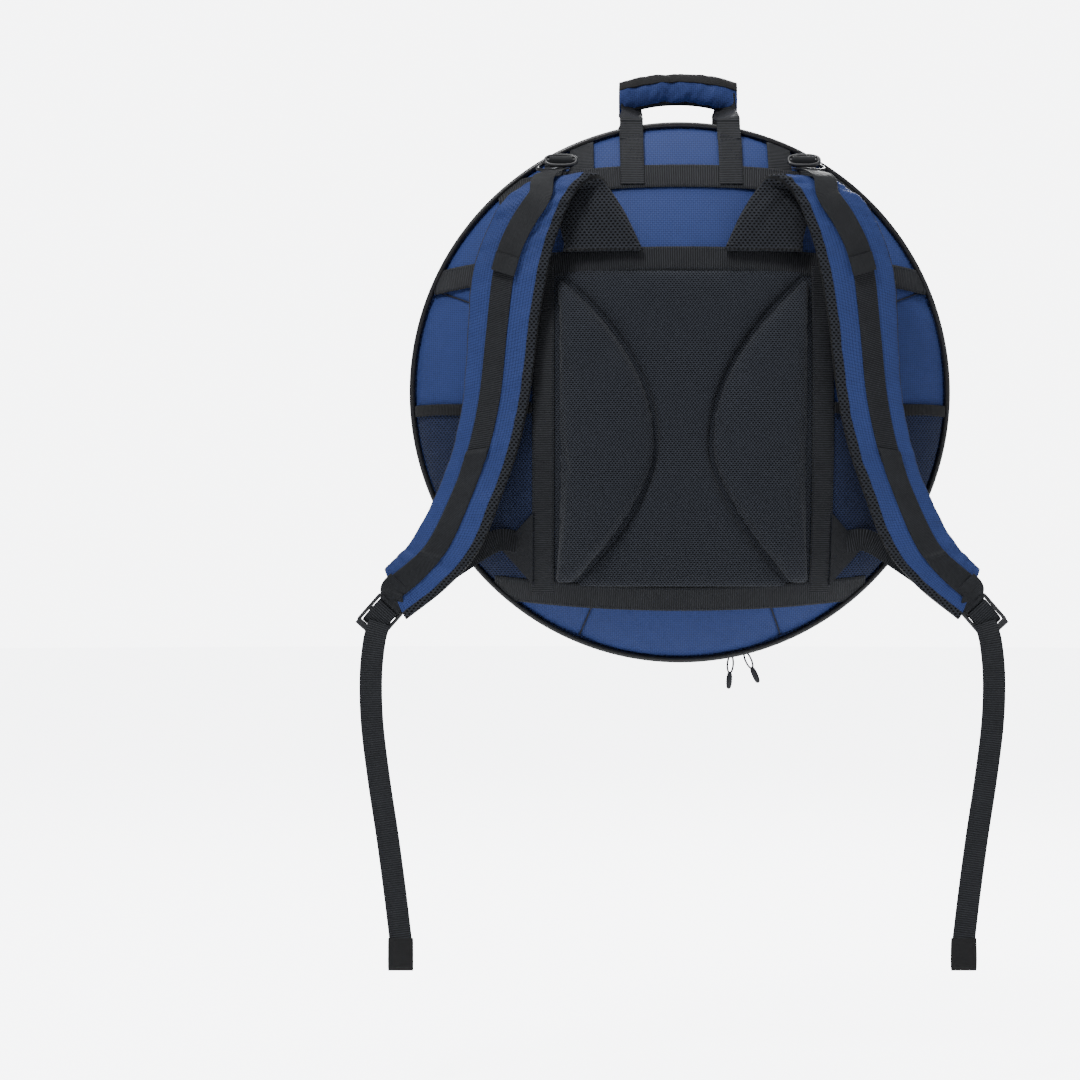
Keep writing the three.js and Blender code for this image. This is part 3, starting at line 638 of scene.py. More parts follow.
def makePanel(name, side, node, body, look):
    angles = aroundPanel()
    limit = bag["panelRadius"] - 0.0002
    radii = [0.004] + [limit * (i / shell["rings"]) ** 0.85 for i in range(2, shell["rings"] + 1)]
    rings = []
    for radius in radii:
        spots = [(math.sin(a) * radius, math.cos(a) * radius, a) for a in angles]
        rings.append([panelPoint(x, z, side, panelRelief(radius, a, side))[0] for x, z, a in spots])
    rings += paddedInside(side, angles, 0.0150)
    piece = loftPiece(name, rings, look["navyCloth"], smooth=80)
    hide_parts(f"{node}_cover", f"{node}_foam")
    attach(piece, body)
    for k, angle in enumerate(dartSeams):
        line = []
        for i in range(41):
            radius = 0.116 + (limit - 0.116) * i / 40
            place, out = panelPoint(math.sin(angle) * radius, math.cos(angle) * radius, side, -0.0022)
            line.append((place, out))
        rings = []
        for i, (place, out) in enumerate(line):
            ahead = (line[min(i + 1, 40)][0] - line[max(i - 1, 0)][0]).normalized()
            across = ahead.cross(out).normalized()
            rings.append([place + across * s + out * t for s, t in flatSection(0.0014, 0.0012, 2)])
        seam = loftPiece(f"{name}Seam{k}", rings, look["seamThread"])
        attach(seam, body)


quilt = {"centre": 0.094, "thick": 0.0016}


def quiltedLining(name, side, node, body, look, wallTo=None):
    # Lining quilted in eight wedges round a circle; wallTo carries it on along the wall.
    angles = aroundPanel()
    spots = insideProfile(side, 0.0156)
    rows, under = [], []
    for radius, y in [(0.004 + (spots[-1][0] - 0.004) * k / 60, None) for k in range(61)]:
        y = float(np.interp(radius, [s[0] for s in spots], [s[1] for s in spots]))
        ring, back = [], []
        for angle in angles:
            off = math.degrees(dartHalf - abs((angle + dartHalf) % (math.pi / 4) - dartHalf))
            seam = math.exp(-(off * radius / 0.30) ** 2) * min(1, max(0, (radius - quilt["centre"]) / 0.01))
            seam = max(seam, math.exp(-((radius - quilt["centre"]) / 0.0035) ** 2))
            spot = Vector((math.sin(angle), side, math.cos(angle))) * radius * 60
            puff = 0.0016 * (1 - seam) + 0.0009 * noise.noise(spot)
            ring.append(onCircle(angle, radius, y - side * (quilt["thick"] + puff)))
            back.append(onCircle(angle, radius, y))
        rows.append(ring)
        under.append(back)
    if wallTo is not None:
        edgeY, wallRadius = rows[-1][0].y, bag["wall"] - 0.0118
        for k in range(1, 17):
            y = edgeY + (wallTo - edgeY) * k / 16
            radius = spots[-1][0] + (wallRadius - spots[-1][0]) * min(1, k / 3)
            gathers = [0.0012 * noise.noise(Vector((math.sin(a) * 22, y * 26, math.cos(a) * 22)))
                       for a in angles]
            rows.append([onCircle(a, radius - 0.0016 + g, y) for a, g in zip(angles, gathers)])
            under.append([onCircle(a, radius, y) for a in angles])
    piece = loftPiece(name, rows + under[::-1], look["satin"], smooth=80)
    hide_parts(node)
    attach(piece, body)


def makeLinings(look):
    quiltedLining("trayLining", 1, "tray_lining", "tray", look, wallTo=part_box("tray_lining")[0][1])
    quiltedLining("lidLining", -1, "front_lining", "lid", look)
    # The black rings that hold both mouths of the bag open.
    for name, body, low, high in (("trayMouth", "tray", -0.0295, -0.0180),
                                  ("lidMouth", "lid", -0.0446, -0.0345)):
        mouth = ringPiece(name, bandSection(bag["wall"] - 0.0300, bag["wall"] - 0.0028, low, high, 6),
                          look["binding"], steps=200)
        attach(mouth, body)


def ringPiece(name, section, material, steps=240, wobble=0.0, start=0.0, sweep=360.0):
    # A section of (radius, y) pairs carried round the bag's middle.
    closed = sweep >= 360
    rings = []
    for i in range(steps if closed else steps + 1):
        angle = math.radians(start + sweep * i / steps)
        ring = []
        for radius, y in section:
            ripple = wobble * noise.noise(Vector((math.sin(angle) * 9, y * 60, math.cos(angle) * 9)))
            reach = radius + min(0, ripple) if radius > 0.2 else radius
            ring.append(Vector((reach * math.sin(angle), y, reach * math.cos(angle) + bag["middle"])))
        rings.append(ring)
    travel = math.radians(sweep) * bag["wall"] / steps
    return loftPiece(name, rings, material, closed=closed, smooth=50,
                     uv=lambda i, j: (i * travel, section[j % len(section)][1] + j * 1e-5))


def bandSection(low, high, start, end, parts=10):
    # A thin wall between two radii, crowned a little in its middle.
    span = [start + (end - start) * i / parts for i in range(parts + 1)]
    crown = [0.0006 * math.sin(math.pi * i / parts) for i in range(parts + 1)]
    outer = [(high + c, y) for y, c in zip(span, crown)]
    return outer + [(low, y) for y in span[::-1]]


def makeShell(look):
    makePanel("backPanel", 1, "back", "tray", look)
    makePanel("frontPanel", -1, "front", "lid", look)
    for name, node, body in (("backPiping", "back_piping", "tray"), ("frontPiping", "front_piping", "lid")):
        plane = centreOf(node).y
        cord = [(bag["radius"] - 0.003 + s, plane + t) for s, t in roundSection(0.00315, 12)]
        piece = ringPiece(name, cord, look["piping"], steps=288)
        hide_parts(node)
        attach(piece, body)
    low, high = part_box("gusset_cover")
    wall = ringPiece("sideWall", bandSection(bag["wall"] - 0.0108, bag["wall"], low[1], high[1] + 0.0008, 16),
                     look["wallCloth"], wobble=0.0012)
    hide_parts("gusset_cover", "gusset_foam")
    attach(wall, "tray")
    for name, node, body in (("trayZip", "zip_tape_back", "tray"), ("lidZip", "zip_tape_front", "lid")):
        low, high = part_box(node)
        inward = high[1] if body == "lid" else low[1]
        outward = low[1] if body == "lid" else high[1]
        tape = ringPiece(name, bandSection(bag["wall"] - 0.0022, bag["wall"] - 0.0010,
                                           inward, outward, 6), look["fineWebbing"])
        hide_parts(node)
        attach(tape, body)
        turn = 0.0011 if body == "tray" else -0.0011
        coil = [(bag["wall"] - 0.0004 + s * 1.2, inward + turn + t) for s, t in roundSection(0.0011, 8)]
        chain = ringPiece(f"{name}Coil", coil, look["zipCoil"], steps=240)
        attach(chain, body)
        trim = outward + (-0.0022 if body == "tray" else 0.0022)
        edge = ringPiece(f"{name}Binding", bandSection(bag["wall"] - 0.0009, bag["wall"] - 0.0001,
                                                       trim - 0.002, trim + 0.002, 3), look["binding"])
        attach(edge, body)
    low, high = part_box("hinge_patch")
    half = math.degrees(math.asin(high[0] / bag["wall"]))
    patch = ringPiece("hingePatch",
                      bandSection(bag["wall"] + 0.0003, bag["wall"] + 0.0019, low[1], high[1], 8),
                      look["rubber"], steps=18, start=180 - half, sweep=2 * half)
    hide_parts("hinge_patch")
    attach(patch, "tray")
    makeLinings(look)


# --- webbing sewn on the panels, all places from the bag's middle
webbing = {"width": 0.025, "topBand": (0.226, 0.38), "middleBand": (0.136, 0.29),
           "bottomBand": (-0.220, -0.31),
           "frontBand": (0.233, 0.62), "leg": 0.052, "shortWeb": 0.105, "padWeb": 0.146}


def bandPoints(centre, bow):
    # The bow follows the dome; ends stop just inside the piping.
    reach = 0.30
    while math.hypot(reach, centre - bow * reach * reach) > bag["panelRadius"] + 0.004:
        reach -= 0.001
    return [(reach * k / 6, centre - bow * (reach * k / 6) ** 2) for k in range(-6, 7)]


def sewBand(name, node, key, side, body, look):
    piece = panelStrip(name, bandPoints(*webbing[key]), side, webbing["width"], look["ribbedWebbing"],
                       lift=0.0016, steps=110)
    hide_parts(node)
    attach(piece, body)


def sewUpright(name, x, foot, top, side, body, look, width=0.025, node=None, lift=0.0012):
    steps = 30
    points = [(x, foot + (top - foot) * i / 4) for i in range(5)]
    piece = panelStrip(name, points, side, width, look["ribbedWebbing"], lift=lift, steps=steps)
    if node:
        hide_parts(node)
    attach(piece, body)


def makeWebbing(look):
    for key, node in (("topBand", "back_top_band"), ("middleBand", "back_middle_band"),
                      ("bottomBand", "back_bottom_band")):
        sewBand(key, node, key, 1, "tray", look)
    sewBand("frontBand", "front_band", "frontBand", -1, "lid", look)
    edge = bag["panelRadius"] + 0.003
    for hand, sign in (("left", -1), ("right", 1)):
        x = sign * webbing["leg"]
        rim = math.sqrt(edge ** 2 - x ** 2)
        sewUpright(f"{hand}BackLeg", x, 0.216, rim, 1, "tray", look,
                   node=f"back_{hand}_handle_leg", lift=0.0032)
        sewUpright(f"{hand}FrontLeg", x, 0.226, rim, -1, "lid", look,
                   node=f"front_{hand}_handle_leg", lift=0.0032)
        for panel, side, body in (("Back", 1, "tray"), ("Front", -1, "lid")):
            bridge = [(x, side * y, bag["middle"] + z) for y, z in
                      ((0.0640, 0.2700), (0.0605, 0.2755), (0.0562, 0.2815),
                       (0.0527, 0.2868), (0.0510, 0.2905))]
            leg = sweepPiece(f"{hand}{panel}LegBridge", framesAlong(smoothRoute(bridge, 20), (1, 0, 0)),
                             flatSection(webbing["width"], 0.0016), look["ribbedWebbing"])
            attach(leg, body)
        x = sign * webbing["shortWeb"]
        rim = math.sqrt(edge ** 2 - x ** 2)
        sewUpright(f"{hand}ShortWeb", x, 0.221, rim, 1, "tray", look)
        sewUpright(f"{hand}PadWeb", sign * webbing["padWeb"], -0.213, 0.130, 1, "tray", look, width=0.023,
                   node=f"{hand}_pad_webbing", lift=0.0020)


swelling = {"inset": 0.0012, "frames": 20, "quality": 6, "stretch": 18, "bend": 0.6}


def inflate(piece, voxel, cap, pressure=4.0):
    # Remeshes a padded piece and lets cloth under pressure swell it, then keeps the shape.
    scene = bpy.context.scene
    remesh = piece.modifiers.new("even", "REMESH")
    remesh.mode, remesh.voxel_size = "VOXEL", voxel
    keepShape(piece)
    rest = [v.co.copy() for v in piece.data.vertices]
    inward = [-v.normal for v in piece.data.vertices]
    for v, way in zip(piece.data.vertices, inward):
        v.co += way * swelling["inset"]
    cloth = piece.modifiers.new("cloth", "CLOTH")
    cloth.settings.use_pressure = True
    cloth.settings.uniform_pressure_force = pressure
    cloth.settings.effector_weights.gravity = 0
    cloth.settings.quality = swelling["quality"]
    cloth.settings.tension_stiffness = swelling["stretch"]
    cloth.settings.compression_stiffness = swelling["stretch"]
    cloth.settings.bending_stiffness = swelling["bend"]
    cloth.point_cache.frame_start, cloth.point_cache.frame_end = 1, swelling["frames"]
    for step in range(1, swelling["frames"] + 1):
        scene.frame_set(step)
    keepShape(piece)
    scene.frame_set(1)
    for v, start in zip(piece.data.vertices, rest):
        moved = v.co - start
        if moved.length > cap:
            v.co = start + moved.normalized() * cap
    soft = piece.modifiers.new("soft", "SUBSURF")
    soft.levels = soft.render_levels = 1
    keepShape(piece)
    piece.data.shade_smooth()


def keepShape(piece):
    # Swaps the mesh for what its modifiers make of it.
    depsgraph = bpy.context.evaluated_depsgraph_get()
    made = bpy.data.meshes.new_from_object(piece.evaluated_get(depsgraph))
    old, name = piece.data, piece.data.name
    piece.modifiers.clear()
    piece.data = made
    bpy.data.meshes.remove(old)
    made.name = name


# --- back pads
pads = {"edge": 0.1325, "waist": 0.027, "waistZ": -0.060, "top": 0.119, "foot": -0.204,
        "crescentThick": 0.0152, "centreThick": 0.0068}


def crescentEdge(z):
    if z > pads["waistZ"]:
        share = (z - pads["waistZ"]) / (pads["top"] - pads["waistZ"])
        return pads["waist"] + 0.100 * share ** 2.05
    share = (pads["waistZ"] - z) / (pads["waistZ"] - pads["foot"])
    return pads["waist"] + 0.085 * share ** 1.7


def cushion(name, edges, low, high, thick, material, rows=90, columns=40, steep=4.0, crease=0.0):
    # A crowned pad between two edges given per height; its rim drops steeply to the panel.
    rings = []
    for i in range(rows + 1):
        z = low + (high - low) * (0.5 - 0.5 * math.cos(math.pi * i / rows))
        left, right = edges(z)
        ends = max(0.0, 1 - abs(2 * (z - low) / (high - low) - 1) ** 26) ** 0.5
        narrow = min(1.0, abs(right - left) / 0.055) ** 0.6
        upper, lower = [], []
        for j in range(columns + 1):
            u = 0.5 - 0.5 * math.cos(math.pi * j / columns)
            x = left + (right - left) * u
            crown = max(0.0, 1 - abs(2 * u - 1) ** steep) ** 0.55
            ripple = crease * noise.noise(Vector((x * 30, 0.7, z * 30)))
            lift = 0.0006 + thick * ends * narrow * crown + ripple * crown * ends
            upper.append(panelPoint(x, z, 1, lift)[0])
            lower.append(panelPoint(x, z, 1, 0.0004)[0])
        rings.append(upper + lower[::-1])
    piece = loftPiece(name, rings, material, smooth=60)
    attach(piece, "tray")
    return piece


def makePads(look):
    rows = []
    for i in range(61):
        z = pads["foot"] - 0.005 + (pads["top"] - pads["foot"] + 0.011) * i / 60
        spots = [(-0.1345 + 0.269 * j / 60, z) for j in range(61)]
        rows.append(doubledRow(spots, 1, 0.0011, 0.0002))
    base = loftPiece("padBase", rows, look["spacerMesh"], smooth=60)
    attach(base, "tray")
    centre = cushion("centrePad", lambda z: (-min(pads["edge"], crescentEdge(z) - 0.0012),
                                             min(pads["edge"], crescentEdge(z) - 0.0012)),
                     pads["foot"] - 0.003, pads["top"] + 0.004, pads["centreThick"], look["spacerMesh"],
                     columns=60, steep=7, crease=0.0008)
    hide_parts("centre_pad")
    for hand, sign in (("left", -1), ("right", 1)):
        pad = cushion(f"{hand}Crescent", lambda z: (sign * crescentEdge(z), sign * pads["edge"]),
                      pads["foot"], pads["top"], pads["crescentThick"], look["spacerMesh"], steep=2.2,
                      crease=0.0012)
        inflate(pad, 0.0034, 0.0035)
        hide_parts(f"{hand}_crescent_pad")


# --- shoulder straps: both edges of the middle surface in millimetres from the bag's middle
strap = {"thick": 0.011, "foldFrom": 0.165, "foldTo": 0.25, "web": 0.57, "webWide": 0.025}
strapInner = [(45, 139, 150), (61, 135, 184), (77, 132, 209), (88, 138, 221), (103, 147, 216),
              (117, 151, 198), (130, 151, 167), (140, 149, 133), (151, 146, 72), (160, 143, 0),
              (172, 140, -58), (190, 134, -111), (214, 126, -169), (248, 117, -208), (291, 108, -242)]
strapOuter = [(124, 130, 150), (132, 122, 180), (142, 117, 201), (152, 121, 213), (165, 130, 212),
              (190, 136, 193), (210, 135, 155), (222, 130, 111), (226, 122, 48), (231, 117, -14),
              (243, 113, -68), (262, 108, -116), (285, 104, -158), (300, 101, -175), (314, 98, -189)]


def splinePoint(points, share):
    span = share * (len(points) - 1)
    i = min(int(span), len(points) - 2)
    t = span - i
    grab = lambda k: Vector(points[min(max(k, 0), len(points) - 1)])
    a, b, c, d = (grab(i + k) for k in (-1, 0, 1, 2))
    if i == 0:
        a = 2 * b - c
    if i == len(points) - 2:
        d = 2 * c - b
    return 0.5 * (2 * b + (c - a) * t + (2 * a - 5 * b + 4 * c - d) * t * t
                  + (3 * b - a - 3 * c + d) * t ** 3)


def strapPoint(sign, along, across, lift):
    step = 0.002
    edge = lambda points, share: splinePoint(points, min(1, max(-0.012, share)))
    middle = lambda share: edge(strapInner, share).lerp(edge(strapOuter, share), across)
    tangent = middle(along + step) - middle(along - step)
    wide = edge(strapOuter, along) - edge(strapInner, along)
    out = wide.cross(tangent).normalized()
    spot = (middle(along) + out * (lift / mm)) * mm
    return Vector((sign * spot.x, spot.y, spot.z + bag["middle"])), wide.length * mm


def strapSkin(sign, start, end, steps):
    # Cloth on the outside, spacer mesh inside, a folded binding along both edges.
    columns, half = 26, strap["thick"] / 2
    rings = []
    for i in range(steps + 1):
        along = start + (end - start) * i / steps
        upper, lower = [], []
        for j in range(columns + 1):
            u = 0.5 - 0.5 * math.cos(math.pi * j / columns)
            crown = max(0.0, 1 - abs(2 * u - 1) ** 7) ** 0.5
            spot = Vector((sign * 3 + u * 1.6, along * 44, 0.3))
            side = min(1, max(0, abs(u - strap["web"]) - 0.16) / 0.14)
            pucker = (0.0023 * noise.noise(spot) + 0.0011 * noise.noise(spot * 2.1)) * side
            bulge = 0.0
            if along < strap["foldFrom"]:
                # The sewn root is stuffed: a soft cone with creases running up to the fold.
                share = max(0.0, along) / strap["foldFrom"]
                bulge = crown * math.sin(math.pi * share) ** 0.7 * (
                    0.0042 + 0.0034 * noise.noise(Vector((u * 5 + sign, share * 1.2, 4.0))))
            upper.append(strapPoint(sign, along, u, half * (0.42 + 0.58 * crown) + pucker - 0.0006 * side)[0])
            lower.append(strapPoint(sign, along, u, -half * (0.42 + 0.58 * crown) - bulge)[0])
        rings.append(upper + lower[::-1])
    return rings, columns


def makeStrap(hand, sign, look):
    bodyName = f"{hand}_strap"
    for name, start, end, steps in (("Root", -0.010, strap["foldFrom"], 40),
                                    ("Fold", strap["foldFrom"], strap["foldTo"], 22),
                                    ("Pad", strap["foldTo"], 1.0, 150)):
        rings, columns = strapSkin(sign, start, end, steps)

        def pick(_, j):
            if j == columns or j == 2 * columns + 1 or j in (columns - 2, columns - 1):
                return 2
            return 1 if 5 < j < columns else 0

        width = 0.075
        piece = loftPiece(f"{hand}Strap{name}", rings, look["strapMesh"], look["strapCloth"], look["binding"],
                          smooth=70, pick=pick, uv=lambda i, j: (i * (end - start) / steps * 0.62,
                                                                (j % (columns + 1)) / columns * width))
        if name == "Root":
            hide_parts(f"{hand}_strap_root")
            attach(piece, "tray")
        elif name == "Pad":
            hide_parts(f"{hand}_strap_pad")
            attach(piece, bodyName)
        else:
            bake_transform(piece)
    rows = []
    for i in range(25):
        u = i / 24
        high = strapPoint(sign, 0.004, u, -strap["thick"] * 0.42)[0]
        low = panelPoint(high.x, 0.1435, 1, 0.0034)[0]
        swell = Vector((0, 0.0035, 0))
        rows.append([high, high.lerp(low, 0.3) + swell, high.lerp(low, 0.65) + swell * 0.8, low,
                     low - Vector((0, 0.0016, 0)), high - Vector((0, 0.004, 0))])
    hem = loftPiece(f"{hand}RootHem", rows, look["strapMesh"], smooth=70)
    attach(hem, "tray")


def strapWeb(name, sign, start, end, steps, lift, material, across=None, bump=None):
    # Webbing laid on the strap's face; bump(share) lifts it where it folds.
    thick = 0.0014
    section = flatSection(strap["webWide"], thick)
    rings, travel = [], [0.0]
    for i in range(steps + 1):
        share = i / steps
        along = start + (end - start) * share
        middle = across(share) if across else strap["web"]
        extra = bump(share) if bump else 0.0
        ring = []
        for s, t in section:
            _, width = strapPoint(sign, along, 0.5, 0)
            ring.append(strapPoint(sign, along, middle + s / width, lift + extra + t)[0])
        rings.append(ring)
    for low, high in zip(rings, rings[1:]):
        travel.append(travel[-1] + (high[4] - low[4]).length)
    around = [s for s, _ in section] + [section[0][0]]
    return loftPiece(name, rings, material, uv=lambda i, j: (travel[i], around[j]), smooth=50)


def foldBump(places, height=0.0035, width=0.018):
    return lambda share: sum(height * math.exp(-((share - p) / width) ** 2) for p in places)


def overlapBump(share):
    # Rides over the end of the ribbed webbing, then lies on the pad again.
    over = 0.0016 / (1 + math.exp((share - 0.10) * 90))
    return over + foldBump((0.02, 0.60), height=0.0018)(share)


def makeStrapWebbing(hand, sign, look):
    bodyName = f"{hand}_strap"
    lift = strap["thick"] / 2 + 0.0007
    ribbed = strapWeb(f"{hand}StrapWeb", sign, 0.49, 0.735, 60, lift, look["ribbedWebbing"])
    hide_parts(f"{hand}_strap_webbing")
    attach(ribbed, bodyName)
    fine = strapWeb(f"{hand}StrapWebFine", sign, 0.715, 1.0, 90, lift + 0.0002, look["fineWebbing"],
                    bump=overlapBump)
    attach(fine, bodyName)
    # Lifter: from the adjuster over the fold, then down the face to its doubled end.
    route = [(sign * 130, 91, 233.5), (sign * 131, 112, 231), (sign * 137, 131, 228),
             (sign * 147, 144.5, 219)]
    points = [fromMiddle(*p) for p in route]
    for along, across in ((0.35, 0.45), (0.4, 0.5), (0.45, 0.55), (0.5, strap["web"])):
        points.append(strapPoint(sign, along, across, strap["thick"] / 2 + 0.0034)[0])
    walk = smoothRoute(points, 70)
    frames = framesAlong(walk, (sign * 0.97, -0.2, -0.12))
    lifter = sweepPiece(f"{hand}Lifter", frames, flatSection(0.025, 0.0015), look["plainWebbing"])
    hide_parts(f"{hand}_lifter_webbing")
    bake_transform(lifter)
    ending = frames[-9:]
    doubled = [(p + o * 0.0017 * sign, a, o) for p, a, o in ending]
    hem = sweepPiece(f"{hand}LifterHem", doubled, flatSection(0.0255, 0.0019), look["plainWebbing"])
    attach(hem, bodyName)


# --- hanging tails
tail = {"width": 0.024, "thick": 0.0016}
tailRoute = [(319, 108, -246), (324, 113, -262), (328, 113, -300), (327, 111, -350),
             (320, 109, -410), (311, 108, -470), (303, 107, -530), (297, 107, -580)]


def makeTail(hand, sign, look):
    points = [fromMiddle(sign * x, y, z) for x, y, z in tailRoute]
    walk = smoothRoute(points, 36)
    frames = framesAlong(walk, (1, 0, 0))
    piece = sweepPiece(f"{hand}Tail", frames, flatSection(tail["width"], tail["thick"]),
                       look["ribbedWebbing"])
    end = points[-1]
    loop = []
    for k in range(25):
        turn = 2 * math.pi * k / 24
        out = 0.0050 * math.sin(turn) + 0.0010 * math.sin(2 * turn)
        loop.append((end + Vector((0, out, -0.0155 - 0.0165 * math.cos(turn))),
                     Vector((1, 0, 0)), Vector((0, math.sin(turn), -math.cos(turn)))))
    keeper = sweepPiece(f"{hand}Keeper", loop[:-1], flatSection(0.0265, 0.0017), look["hookLoop"],
                        closed=True)
    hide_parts(f"{hand}_tail")
    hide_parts(f"{hand}_tail_keeper")
    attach(piece, f"{hand}_tail_end")
    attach(keeper, f"{hand}_tail_end")


# --- carry handle
handle = {"half": 0.064, "arch": 0.009, "deep": 0.0140, "high": 0.0160, "leg": 0.052}


def makeLoop(name, node, body, side, look):
    # Each leg leaves the rim, twists inward and runs into the sleeve.
    middle = bag["middle"]
    for k, sign in enumerate((-1, 1)):
        points = [(sign * handle["leg"], side * 0.0510, middle + 0.2890),
                  (sign * handle["leg"], side * 0.0475, middle + 0.2940),
                  (sign * (handle["leg"] - 0.001), side * 0.034, middle + 0.2985),
                  (sign * (handle["leg"] - 0.002), side * 0.018, middle + 0.3020),
                  (sign * (handle["leg"] - 0.001), side * 0.0080, middle + 0.3080),
                  (sign * (handle["leg"] - 0.001), side * 0.0050, middle + 0.3250)]
        walk = smoothRoute(points, 40)
        twist = lambda share, sign=sign: Vector((
            1, 0.75 * side * sign * share ** 2,
            0.35 * sign * side * math.sin(math.pi * share))).normalized()
        leg = sweepPiece(f"{name}Leg{k}", framesAlong(walk, twist), flatSection(0.0250, 0.0017),
                         look["ribbedWebbing"])
        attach(leg, body)
        if k == 0:
            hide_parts(node)
    grip = [(x * handle["half"] * 0.96, side * 0.0035, gripLine(x) - 0.002) for x in (-1, -0.5, 0, 0.5, 1)]
    bar = sweepPiece(f"{name}Grip", framesAlong(smoothRoute(grip, 30), (0, 0, 1)), flatSection(0.017, 0.0035),
                     look["plainWebbing"])
    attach(bar, body)


def gripLine(share):
    # Height of the sleeve's middle, arched up between its ends.
    return handle["arch"] * (0.45 - share * share)


def makeWrap(look):
    # A padded sleeve rolled round both grips, its hook-and-loop flap lying along the top.
    def skin(start, end, grow, steps=110, around=44):
        rings = []
        for i in range(steps + 1):
            share = 2 * i / steps - 1
            x = share * handle["half"]
            pinch = 1 - 0.10 * abs(share) ** 6
            outer, inner = [], []
            for j in range(around + 1):
                angle = start + (end - start) * j / around
                flare = 1 + (0.06 if math.cos(angle) > 0 else 0.34) * abs(share) ** 3
                spot = Vector((x * 75 + math.sin(angle) * 0.8, math.sin(angle) * 0.7, math.cos(angle) * 0.7))
                wrinkle = 0.0030 * noise.noise(spot) + 0.0014 * noise.noise(spot * 2.3)
                wrinkle *= 0.4 if grow else 1.0
                deep = handle["deep"] * pinch + grow + wrinkle
                high = handle["high"] * flare * pinch + grow + wrinkle
                outer.append(Vector((x, deep * math.sin(angle), gripLine(share) + high * math.cos(angle))))
                inner.append(Vector((x, (deep - 0.0022) * math.sin(angle),
                                     gripLine(share) + (high - 0.0022) * math.cos(angle))))
            rings.append(outer + inner[::-1])
        return rings

    gapHalf = 0.42
    sleeve = loftPiece("gripSleeve", skin(-math.pi + gapHalf, math.pi - gapHalf, 0.0), look["strapCloth"],
                       smooth=70, uv=lambda i, j: (i * 0.00116, j * 0.0021))
    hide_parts("handle_wrap")
    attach(sleeve, "front_handle")
    flap = loftPiece("gripFlap", skin(-0.15, 1.15, 0.0016, around=16), look["hookLoop"], smooth=60)
    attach(flap, "front_handle")
    for name, angle in (("gripEdgeFront", -math.pi + gapHalf), ("gripEdgeBack", math.pi - gapHalf)):
        points = []
        for k in range(-8, 9):
            share = k / 8
            flare = 1 + 0.34 * abs(share) ** 3
            points.append(Vector((share * handle["half"], handle["deep"] * math.sin(angle) * 0.95,
                                  gripLine(share) + handle["high"] * flare * math.cos(angle))))
        edge = sweepPiece(name, framesAlong(smoothRoute(points, 60), (0, 0, 1)), roundSection(0.0016, 8),
                          look["binding"])
        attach(edge, "front_handle")


# --- rings, buckles and locks
hardware = {"wire": 0.0036, "ringWide": 0.036, "ringHigh": 0.026, "lean": 0.45,
            "lockWide": 0.034, "lockLong": 0.040}


def seatOn(x, z, side, lift):
    # Turns a piece modelled flat (X across, Y out, Z up) to lie on a panel.
    place, out = panelPoint(x, z, side, lift)
    up = (Vector((0, 0, 1)) - out * out.z).normalized()
    across = out.cross(up)
    turn = Matrix((across, out, up)).transposed().to_4x4()
    turn.translation = place
    return turn


def dOutline(width, height, steps=14):
    half, round_ = width / 2, width * 0.36
    points = [Vector((-half, 0, 0)), Vector((-half, 0, -height + round_))]
    for k in range(1, steps):
        turn = math.pi + k / steps * math.pi / 2
        points.append(Vector((-half + round_ + round_ * math.cos(turn), 0,
                              -height + round_ + round_ * math.sin(turn))))
    points.append(Vector((-half + round_, 0, -height)))
    points += [Vector((-p.x, 0, p.z)) for p in points[::-1]]
    walk = []
    for a, b in zip(points, points[1:] + points[:1]):
        count = max(1, int((b - a).length / 0.0022))
        walk += [a.lerp(b, k / count) for k in range(count)]
    return walk


def sweepClosed(name, walk, radius, material, turn, sides=12):
    count = len(walk)
    frames = []
    for i, point in enumerate(walk):
        tangent = (walk[(i + 1) % count] - walk[i - 1]).normalized()
        out = Vector((0, 1, 0))
        across = tangent.cross(out).normalized()
        frames.append((turn @ point, turn.to_3x3() @ across, turn.to_3x3() @ out))
    return sweepPiece(name, frames, roundSection(radius, sides), material, closed=True)


def ringTab(name, body, turn, look):
    # Webbing folded round the ring's bar and sewn down into the band.
    loop = [Vector((0, -0.0026, -0.022)), Vector((0, -0.0026, -0.010)), Vector((0, -0.0024, -0.002))]
    for k in range(9):
        a = math.pi + k / 8 * -math.pi
        loop.append(Vector((0, 0.0029 * math.cos(a), 0.0029 * math.sin(a))))
    loop += [Vector((0, 0.0024, -0.003)), Vector((0, -0.0005, -0.0075)), Vector((0, -0.0014, -0.021))]
    walk = smoothRoute([turn @ p for p in loop], 60)
    across = turn.to_3x3() @ Vector((1, 0, 0))
    tab = sweepPiece(name, framesAlong(walk, across), flatSection(0.0235, 0.0014), look["ribbedWebbing"])
    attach(tab, body)


def makeRings(look):
    for side, panel, rideOn, x, z in ((1, "back", "tray", 0.131, 0.241), (-1, "front", "lid", 0.117, 0.251)):
        for hand, sign in (("left", -1), ("right", 1)):
            seated = seatOn(sign * x, z, side, 0.0048)
            turn = seated @ Matrix.Rotation(hardware["lean"] if side > 0 else 0, 4, "X")
            ring = sweepClosed(f"{panel}{hand.title()}Ring", dOutline(hardware["ringWide"] - 0.0036,
                               hardware["ringHigh"] - 0.0036), hardware["wire"] / 2, look["blackMetal"], turn)
            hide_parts(f"{panel}_{hand}_d_ring")
            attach(ring, f"{panel}_{hand}_ring")
            ringTab(f"{panel}{hand.title()}RingTab", rideOn, seated, look)


